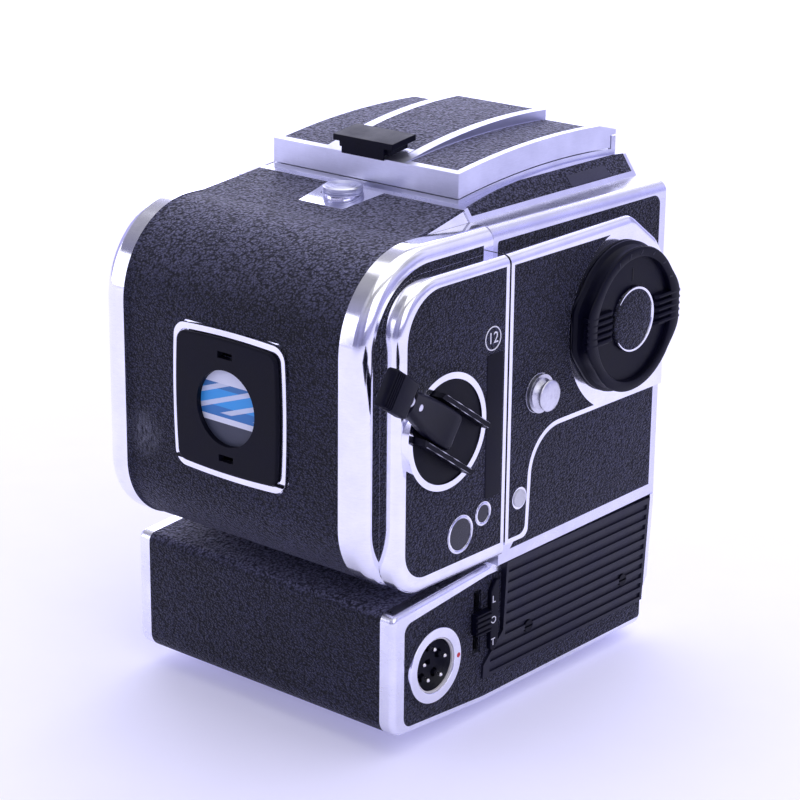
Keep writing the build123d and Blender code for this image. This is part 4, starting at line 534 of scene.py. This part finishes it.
DIAL_LOW, DIAL_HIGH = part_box("mode_dial")
DIAL_Y, DIAL_Z = (DIAL_LOW.y + DIAL_HIGH.y) / 2, (DIAL_LOW.z + DIAL_HIGH.z) / 2
DIAL_R = (DIAL_HIGH.z - DIAL_LOW.z) / 2
EAR = (DIAL_HIGH.y - DIAL_LOW.y) / 2       # reach of the two grips
EAR_HALF = 4.6 * MM                        # half height of a grip
EAR_BLEND = 0.42                           # angle over which a grip's corner runs into the circle
DIAL_FACE = DIAL_LOW.x + 0.2 * MM
DIAL_FOOT = FACE - 0.1 * MM
DIAL_CENTRE = (0, DIAL_Y, DIAL_Z)
RECESS_R = 17.2 * MM
RECESS = 1.6 * MM
FLANK_HOLLOW = 1.3 * MM
CAP_R = 8.6 * MM
CAP_FACE = DIAL_FACE + 0.75 * MM
CRESCENT = (38, 324)                       # ends of the bright arc, in degrees from +Y
RIM_MARKS = (62, 78, 94, 112, 132, 150)    # angles of the short marks on the rim
GRIP_RIBS = 5


def dial_reach(angle):
    """Outer radius of the dial: a circle drawn out to the corners of the two grips."""
    c, s = abs(cos(angle)), abs(sin(angle))
    corner = hypot(EAR, EAR_HALF)
    aim = atan2(EAR_HALF, EAR)
    if atan2(s, c) <= aim:
        return EAR / c
    touch = aim + EAR_BLEND
    a = atan2(s, c)
    if a >= touch:
        return DIAL_R
    share = (touch - a) / (touch - aim)
    return DIAL_R + (corner - DIAL_R) * share * share * (3 - 2 * share)


def dial_ring(grow, depth, steps=192, fixed=None):
    """Ring of the dial's outline grown by a length, or of a fixed radius, at a depth."""
    ring = []
    for k in range(steps):
        a = 2 * pi * k / steps
        r = fixed if fixed is not None else dial_reach(a) + grow
        ring.append((DIAL_FACE + depth, DIAL_Y + r * cos(a), DIAL_Z + r * sin(a)))
    return ring


def dial_body():
    """Dial body with a hollowed flank and a sunk face."""
    thick = DIAL_FOOT - DIAL_FACE
    body = fill_between("dial_body", [
        dial_ring(-0.2 * MM, thick), dial_ring(0, thick - 0.3 * MM), dial_ring(0, thick - 0.9 * MM),
        dial_ring(-0.9 * MM, thick - 1.6 * MM), dial_ring(-FLANK_HOLLOW, thick * 0.45),
        dial_ring(-0.9 * MM, thick * 0.22), dial_ring(-0.75 * MM, 0.55 * MM),
        dial_ring(-1.0 * MM, 0.18 * MM), dial_ring(-1.5 * MM, 0),
        dial_ring(0, 0, fixed=RECESS_R + 0.5 * MM), dial_ring(0, 0.15 * MM, fixed=RECESS_R + 0.15 * MM),
        dial_ring(0, 0.5 * MM, fixed=RECESS_R), dial_ring(0, RECESS, fixed=RECESS_R - 0.05 * MM),
        dial_ring(0, RECESS, fixed=CAP_R)], "mode_dial", "plastic")
    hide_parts("mode_dial")


def mode_dial():
    """The dial's body, leather cap, spindle, crescent, marks and grips."""
    dial_body()
    turned("dial_cap", [(CAP_R - 0.2 * MM, DIAL_FACE + RECESS + 0.3 * MM), (CAP_R, DIAL_FACE + RECESS),
                        (CAP_R, CAP_FACE + 0.25 * MM), (CAP_R - 0.35 * MM, CAP_FACE),
                        (CAP_R * 0.5, CAP_FACE - 0.12 * MM), (0.2 * MM, CAP_FACE - 0.16 * MM)],
           DIAL_CENTRE, "mode_dial", "leather", slot="leatherette")
    turned("dial_spindle", [(3.0 * MM, FACE + 3.5 * MM), (3.0 * MM, DIAL_FOOT - 0.2 * MM)],
           DIAL_CENTRE, "mode_dial", "steel", steps=48, slot="steel")
    arc = circle((CAP_FACE - 0.1 * MM, DIAL_Y, DIAL_Z), CAP_R + 0.1 * MM, *CRESCENT, 72)
    ribbon("dial_crescent", arc, lambda t: (0.25 + 0.75 * sin(pi * t) ** 0.7) * MM, 0.22 * MM,
           OUT, "mode_dial", "polished")
    line = [(DIAL_FACE + RECESS, DIAL_Y, DIAL_Z + z * MM) for z in (10.6, 12.3, 14.0)]
    ribbon("dial_index", line, 0.55 * MM, 0.12 * MM, OUT, "mode_dial", "dark_gap")
    rim_r = (RECESS_R + DIAL_R - FLANK_HOLLOW) / 2 + 0.1 * MM
    face = (DIAL_FACE, DIAL_Y, DIAL_Z)
    for k, angle in enumerate(RIM_MARKS):
        start = spin_point(face, rim_r - 0.6 * MM, radians(angle), 0, "X")
        end = spin_point(face, rim_r + 0.6 * MM, radians(angle + 2.5), 0, "X")
        ribbon(f"dial_mark_{k}", [start, (start + end) / 2, end], 0.55 * MM, 0.08 * MM, OUT,
               "mode_dial", "ribbed")
    for side, name in ((-1, "front"), (1, "rear")):
        dial_grip("dial_grip_" + name, side)


def dial_grip(name, side):
    """Ribbed finger grip between the cap and the dial's edge."""
    inner, outer = CAP_R + 1.0 * MM, EAR - 0.35 * MM
    step = 2 * EAR_HALF / GRIP_RIBS
    profile = []                            # (height, depth in mm) across the ribs
    for k in range(GRIP_RIBS):
        top = EAR_HALF - k * step
        profile += [(top - step * 0.08, 0.25), (top - step * 0.30, 0.0), (top - step * 0.52, 0.0),
                    (top - step * 0.72, 0.85), (top - step * 0.92, 0.95)]
    bm = bmesh.new()
    rows = []
    for t in (0.0, 0.12, 0.5, 0.88, 1.0):
        y = DIAL_Y + side * (inner + (outer - inner) * t)
        sink = 0.9 * MM if t == 0.0 else (0.12 * MM if t < 1 else 0.5 * MM)
        row = [bm.verts.new((DIAL_LOW.x + 0.05 * MM + sink + d * MM, y, DIAL_Z + z))
               for z, d in profile]
        foot = DIAL_FACE + RECESS + 0.1 * MM
        row.append(bm.verts.new((foot, y, DIAL_Z - EAR_HALF)))
        row.insert(0, bm.verts.new((foot, y, DIAL_Z + EAR_HALF)))
        rows.append(row)
    for a, b in zip(rows, rows[1:]):
        for k in range(len(a)):
            bm.faces.new((a[k], a[(k + 1) % len(a)], b[(k + 1) % len(a)], b[k]))
    bm.faces.new(rows[0])
    bm.faces.new(rows[-1])
    return link(name, from_bmesh(bm, name), "mode_dial", "plastic", 28.0)


# Small pieces of the right side

BADGE = (-36.32 * MM, -17.5 * MM, 138.83 * MM)     # middle of the blank badge on the shoulder
BADGE_LEAN = 55                                    # of the shoulder, in degrees from the level
STRIP = (41.6, 85.6)                               # middle of the blank strip, Y and Z in mm
LETTERS = (("L", 34.0), ("O", 28.0), ("T", 21.6))  # of the release lock, with heights in mm
# name, place along Y and Z and glass radius, in mm, of the two windows in the magazine's cover
WINDOWS = (("counter", 54.5, 59.2, 4.3), ("wound", 45.2, 62.3, 2.4))
PIN_RING, PINS = 4.4 * MM, 5               # contacts of the remote socket


def side_marks():
    """Marks on the magazine's cover and the lock letters."""
    face = FACE - 0.05 * MM
    number = (face, SEAM + 6.3 * MM, 109.3 * MM)
    marking("frames_12", "12", 4.3 * MM, number, RIGHT, UP, "magazine")
    ribbon("frames_ring", circle(number, 3.1 * MM, 0, 360, 48)[:-1], 0.38 * MM, 0.04 * MM,
           OUT, "magazine", "white_paint", closed=True)
    plane = (face, SEAM + 4.6 * MM, 71.5 * MM)
    ribbon("film_plane_ring", circle(plane, 1.15 * MM, 0, 360, 32)[:-1], 0.26 * MM, 0.04 * MM,
           OUT, "magazine", "white_paint", closed=True)
    bar = [(plane[0], plane[1], plane[2] + z * MM) for z in (-3.4, 0, 3.4)]
    ribbon("film_plane_line", bar, 0.26 * MM, 0.04 * MM, OUT, "magazine", "white_paint")
    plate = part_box("lock_plate")[0].x - 0.03 * MM
    for letter, z in LETTERS:
        marking("lock_letter_" + letter, letter, 2.9 * MM, (plate, SEAM - 1.1 * MM, z * MM),
                RIGHT, UP, "camera_body")


def remote_socket():
    """The socket's red dot, its contacts and the pale sleeve inside its ring."""
    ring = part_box("remote_socket_ring")
    y, z = (ring[0].y + ring[1].y) / 2, (ring[0].z + ring[1].z) / 2
    turned("socket_dot", [(0.7 * MM, 0.25 * MM), (0.7 * MM, 0.0), (0.55 * MM, -0.06 * MM)],
           (ring[0].x, y - 9.2 * MM, z), "camera_body", "red_paint", steps=24)
    for k in range(PINS):
        a = radians(90 + 360 / PINS * k)
        pin = (BASE_SIDE + 1.0 * MM, y + PIN_RING * cos(a), z + PIN_RING * sin(a))
        turned(f"socket_pin_{k}", [(0.55 * MM, 1.2 * MM), (0.55 * MM, 0.0), (0.35 * MM, -0.25 * MM),
                                   (0.1 * MM, -0.32 * MM)], pin, "camera_body", "contact", steps=20)
    sleeve("socket_sleeve", [(ring[0].x + 0.5 * MM, 7.55), (ring[0].x + 0.5 * MM, 7.2),
                             (BASE_SIDE + 1.5 * MM, 7.2), (BASE_SIDE + 1.5 * MM, 7.55)], y, z,
           "camera_body", "cream")


def window_rims():
    """Polished rims round the two windows in the magazine's cover."""
    for name, y, z, r in WINDOWS:
        sleeve(name + "_rim", [(FACE + 0.3 * MM, r), (FACE - 0.15 * MM, r + 0.1),
                               (FACE - 0.28 * MM, r + 0.35), (FACE - 0.15 * MM, r + 0.7),
                               (FACE + 0.3 * MM, r + 0.8)], y * MM, z * MM, "magazine", "polished")


def sleeve(name, section, y, z, body, material, steps=72):
    """A turned ring about an X axis from a closed section of (x in metres, radius in mm)."""
    bm = bmesh.new()
    loops = [[bm.verts.new((x, y + r * MM * cos(2 * pi * k / steps), z + r * MM * sin(2 * pi * k / steps)))
              for k in range(steps)] for x, r in section]
    for a, b in zip(loops, loops[1:] + loops[:1]):
        for k in range(steps):
            bm.faces.new((a[k], a[(k + 1) % steps], b[(k + 1) % steps], b[k]))
    return link(name, from_bmesh(bm, name), body, material)


def catch_ridges():
    """Turned ridges round the magazine's catch button and on its top."""
    low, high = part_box("magazine_catch")
    x, y = (low.x + high.x) / 2, (low.y + high.y) / 2
    r = min(high.x - low.x, high.y - low.y) / 2
    top = high.z - 0.02 * MM
    steps = [(-0.2, -2.3)]                  # (beyond the radius, above the top), in mm
    for k in range(4):
        foot = 0.52 * k - 2.2
        steps += [(-0.18, foot), (0.12, foot + 0.12), (0.12, foot + 0.34), (-0.18, foot + 0.46)]
    steps += [(-0.5, 0.10), (-1.0, 0.10), (-1.15, -0.05), (-1.7, -0.05), (-1.85, 0.08),
              (-2.3, 0.08), (-2.45, -0.05)]
    rings = [(r + wide * MM, top + rise * MM) for wide, rise in steps]
    rings.append((0.2 * MM, top - 0.05 * MM))
    turned("catch_button_ridged", rings, (x, y, 0), "magazine_catch", "hood", axis="Z", slot="chrome_trim")


def bare_plates():
    """The smooth blank strip beside the seam and the blank badge plate on the shoulder."""
    strip = (FACE - 0.02 * MM, STRIP[0] * MM, STRIP[1] * MM)
    plate("blank_strip", strip, RIGHT, UP, 3.3, 19.5, 0.7, 0.12, "magazine", "plastic", "leatherette")
    lean = radians(BADGE_LEAN)
    plate("blank_badge", BADGE, RIGHT, (cos(lean), 0, sin(lean)), 8.8, 1.75, 0.7, 0.22,
          "camera_body", "badge", "black_plastic")


def frame_corners():
    """Leather in the four corners that the card frame's rounding leaves open."""
    low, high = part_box("card_frame")
    leg, inset = 3.4 * MM, 0.02 * MM
    for x, side in ((low.x, 1), (high.x, -1)):
        for z, up in ((low.z, 1), (high.z, -1)):
            x0, z0 = x - side * inset, z - up * inset
            rings = [[(x0, y, z0), (x0 + side * leg, y, z0), (x0, y, z0 + up * leg)]
                     for y in (REAR - 0.5 * MM, REAR - 0.01 * MM)]
            fill_between(f"corner_leather_{side + 2}_{up + 2}", rings, "magazine", "leather_rear")


def plate(name, centre, right, up, half_w, half_h, corner, thick, body, material, slot):
    """A thin plate with rounded corners and a softened edge, its foot on the given centre.

    Half width, half height, corner radius and thickness are in mm.
    """
    right, up = Vector(right).normalized(), Vector(up).normalized()
    out = right.cross(up)
    rings = []
    for grow, lift in ((0.0, -0.1), (0.0, thick - 0.1), (-0.08, thick - 0.02), (-0.2, thick)):
        ring = []
        for k in range(32):
            a = 2 * pi * (k + 0.5) / 32
            sx, sy = (1 if cos(a) > 0 else -1), (1 if sin(a) > 0 else -1)
            u = sx * (half_w - corner) + (corner + grow) * cos(a)
            v = sy * (half_h - corner) + (corner + grow) * sin(a)
            ring.append(Vector(centre) + (right * u + up * v + out * lift) * MM)
        rings.append(ring)
    return fill_between(name, rings, body, material)


# Folding crank

CRANK_LOW, CRANK_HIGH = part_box("crank_disc")
CRANK = ((CRANK_LOW.y + CRANK_HIGH.y) / 2, (CRANK_LOW.z + CRANK_HIGH.z) / 2)
CRANK_FINS = 4.0                           # height of the two fins over the disc, mm
CRANK_FACE = CRANK_LOW.x + CRANK_FINS * MM
CRANK_TURN = radians(34)                   # direction of the arm at rest, above +Y
# The arm's sections: (along the arm, its underside and outer side over the disc, half width), in mm
ARM = [(1.0, 1.2, 3.6, 4.4), (1.4, 0.6, 4.1, 4.9), (2.4, 0.35, 4.45, 5.0), (5, 0.35, 4.5, 5.0),
       (10, 0.6, 4.9, 4.9), (15, 1.4, 5.5, 4.5), (20, 2.4, 6.3, 3.9), (24, 3.4, 7.0, 3.3),
       (25.6, 3.9, 7.3, 3.0), (26.0, 4.2, 7.0, 2.6)]
COLLAR = [(25.8, 1.5), (25.8, 1.9), (26.2, 2.0), (26.6, 2.0), (26.6, 1.5)]   # (along, radius)
KNOB_LOW, KNOB_HIGH, KNOB_HALF = 4.0, 7.6, 4.9     # sides of the folded knob, in mm
FIN_EDGES = (-7.0, -5.7, 5.7, 7.0)                 # edges of the two fins across the disc
WEAR_HALF = 10.4                                   # half length of the worn stretch


def crank_point(along, across, height):
    """Place of a point given along the arm, across it and out from the disc, in mm."""
    c, s = cos(CRANK_TURN), sin(CRANK_TURN)
    return Vector((CRANK_FACE - height * MM, CRANK[0] + (along * c - across * s) * MM,
                   CRANK[1] + (along * s + across * c) * MM))


def rounded_section(along, low, high, half, corner, steps=6):
    """Ring of a rounded rectangle across the arm."""
    corner = min(corner, (high - low) / 2, half)
    ring = []
    for sx, sy, start in ((1, 1, 0), (-1, 1, 90), (-1, -1, 180), (1, -1, 270)):
        for k in range(steps + 1):
            a = radians(start + 90 * k / steps)
            ring.append(crank_point(along, sx * (half - corner) + corner * cos(a),
                                    (low + high) / 2 + sy * ((high - low) / 2 - corner) + corner * sin(a)))
    return ring


def folding_crank():
    """Smooth arm, its collar, the folded knob with its ridges, and the disc's worn fins."""
    piece = fill_between("crank_arm_smooth", [rounded_section(*section, 1.5) for section in ARM],
                         "crank_arm", "plastic")
    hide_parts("crank_arm")
    rings = []
    for along, r in COLLAR:
        rings.append([crank_point(along, r * cos(2 * pi * k / 32), 5.7 + 0.85 * r * sin(2 * pi * k / 32))
                      for k in range(32)])
    fill_between("crank_collar", rings, "crank_knob", "steel")
    knob = [(26.5, 0.7), (26.8, 0.25), (27.4, 0.0), (32.7, 0.0)]
    for k in range(4):
        foot = 33.3 + 0.8 * k
        knob += [(foot, 0.0), (foot + 0.15, 0.28), (foot + 0.45, 0.28), (foot + 0.6, 0.0)]
    knob += [(36.45, 0.12), (36.65, 0.4)]
    piece = fill_between("crank_knob_ridged", [
        rounded_section(a, KNOB_LOW + d, KNOB_HIGH - d, KNOB_HALF - d, 0.8) for a, d in knob],
        "crank_knob", "plastic")
    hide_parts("crank_knob")
    for k, across in enumerate(FIN_EDGES):
        line = [crank_point(WEAR_HALF * (j / 10 - 1), across, CRANK_FINS) for j in range(21)]
        ribbon(f"fin_wear_{k}", line, lambda t: (0.03 + 0.24 * sin(11 * t + k) ** 4) * MM, 0.02 * MM,
               OUT, "crank_disc", "worn_edge")
    pin = crank_point(22.0, 0, 6.66)
    turned("crank_pin", [(0.9 * MM, 0.25 * MM), (0.9 * MM, -0.02 * MM), (0.7 * MM, -0.1 * MM)], pin,
           "crank_arm", "steel", steps=24)


def strap_domes():
    """Domed caps on the two strap studs, whose rounded copies are cut short for them."""
    low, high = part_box("strap_studs")
    y, z = (low.y + high.y) / 2, (low.z + high.z) / 2
    rise = 0.8 * MM
    for vertex in shown["strap_studs"].data.vertices:
        vertex.co.x = max(low.x + rise, min(high.x - rise, vertex.co.x))
    for side, x, name in ((-1, low.x + rise, "right"), (1, high.x - rise, "left")):
        rings = [(4.3 * MM * cos(a), side * rise * sin(a)) for a in
                 [radians(10 * k) for k in range(9)]]
        turned("stud_dome_" + name, [(4.2 * MM, -side * 0.4 * MM)] + rings, (x, y, z),
               "camera_body", "steel", steps=64, slot="steel")


# Floor, light and camera

def floor():
    """Pale table that glows a little for the camera, in reflections and through glass."""
    mesh = bpy.data.meshes.new("floor")
    reach = 6.0
    mesh.from_pydata([(-reach, -reach, 0), (reach, -reach, 0), (reach, reach, 0), (-reach, reach, 0)],
                     [], [(0, 1, 2, 3)])
    piece = bpy.data.objects.new("floor", mesh)
    bpy.context.scene.collection.objects.link(piece)
    g = surface("pale_table", Specular_IOR_Level=0.0, Roughness=0.6)
    paper = g.noise(g.place(), 60, 3)
    g.base(g.ramp(paper, (0.3, [c * 0.985 for c in LAVENDER_FLOOR]), (0.7, LAVENDER_FLOOR)))
    rays = g.node("LightPath")
    seen = g.maths("MAXIMUM", rays.outputs["Is Camera Ray"], g.maths(
        "MAXIMUM", rays.outputs["Is Glossy Ray"], rays.outputs["Is Transmission Ray"]))
    g.put(g.shader, {"Emission Color": (*LAVENDER_FLOOR, 1.0)})
    g.tree.links.new(g.maths("MULTIPLY", seen, FLOOR_GLOW), g.shader.inputs["Emission Strength"])
    mesh.materials.append(g.owner)


def sky():
    """A soft room: bright above, bluer below, darker behind the viewer, with broad patches."""
    g = Graph(bpy.data.worlds.new("room"), "Background", Strength=0.72)
    bpy.context.scene.world = g.owner
    toward = g.node("TexCoord").outputs["Generated"]
    axes = g.node("SeparateXYZ", {0: toward}).outputs
    tone = g.ramp(axes[2], (0.35, SKY_LOW), (0.85, SKY_HIGH))
    side = g.span(axes[1], -0.85, 0.5, 1.8, 0.85)
    patches = g.span(g.noise(toward, 1.9, 1), 0.36, 0.64, 0.6, 1.12)
    lit = g.node("VectorMath", {0: tone, "Scale": g.maths("MULTIPLY", side, patches)}, operation="SCALE")
    g.put(g.shader, {"Color": lit.outputs[0]})


def lamp(name, place, aim, size, power, colour):
    light = bpy.data.lights.new(name, "AREA")
    light.shape = "RECTANGLE"
    light.size, light.size_y = size
    light.energy = power
    light.color = colour
    holder = bpy.data.objects.new(name, light)
    bpy.context.scene.collection.objects.link(holder)
    holder.location = place
    holder.rotation_euler = (Vector(aim) - Vector(place)).to_track_quat("-Z", "Y").to_euler()


def lights():
    """Four broad soft lamps round the camera."""
    lamp("overhead", (0.1, -0.1, 1.6), (0, 0, 0.05), (1.8, 1.8), 9.5, (0.98, 0.98, 1.0))
    lamp("behind", (1.0, -1.2, 0.66), (0, 0, 0.1), (1.8, 0.9), 11.0, (0.88, 0.88, 1.0))
    lamp("window", (-1.2, 0.7, 1.0), (0, 0, 0.07), (1.2, 1.2), 6.0, (0.95, 0.95, 1.0))
    lamp("left", (1.3, 1.0, 0.45), (0, 0.05, 0.07), (1.0, 0.8), 4.0, (0.90, 0.90, 1.0))


def camera():
    """The photograph's own view."""
    data = bpy.data.cameras.new("camera")
    data.sensor_fit = "HORIZONTAL"
    data.sensor_width = SENSOR
    data.lens = SENSOR * LENS_PX / FRAME_PX
    data.clip_start, data.clip_end = 0.01, 30.0
    holder = bpy.data.objects.new("camera", data)
    bpy.context.scene.collection.objects.link(holder)
    look = (Vector(TARGET) - Vector(EYE)).to_track_quat("-Z", "Y").to_matrix()
    turn = look @ Matrix.Rotation(radians(ROLL), 3, "Z")
    holder.matrix_world = Matrix.Translation(EYE) @ turn.to_4x4()
    bpy.context.scene.camera = holder


carried_over()
mode_dial()
side_marks()
remote_socket()
window_rims()
catch_ridges()
frame_corners()
bare_plates()
folding_crank()
strap_domes()
floor()
sky()
lights()
camera()
bpy.context.scene.view_settings.view_transform = "Standard"
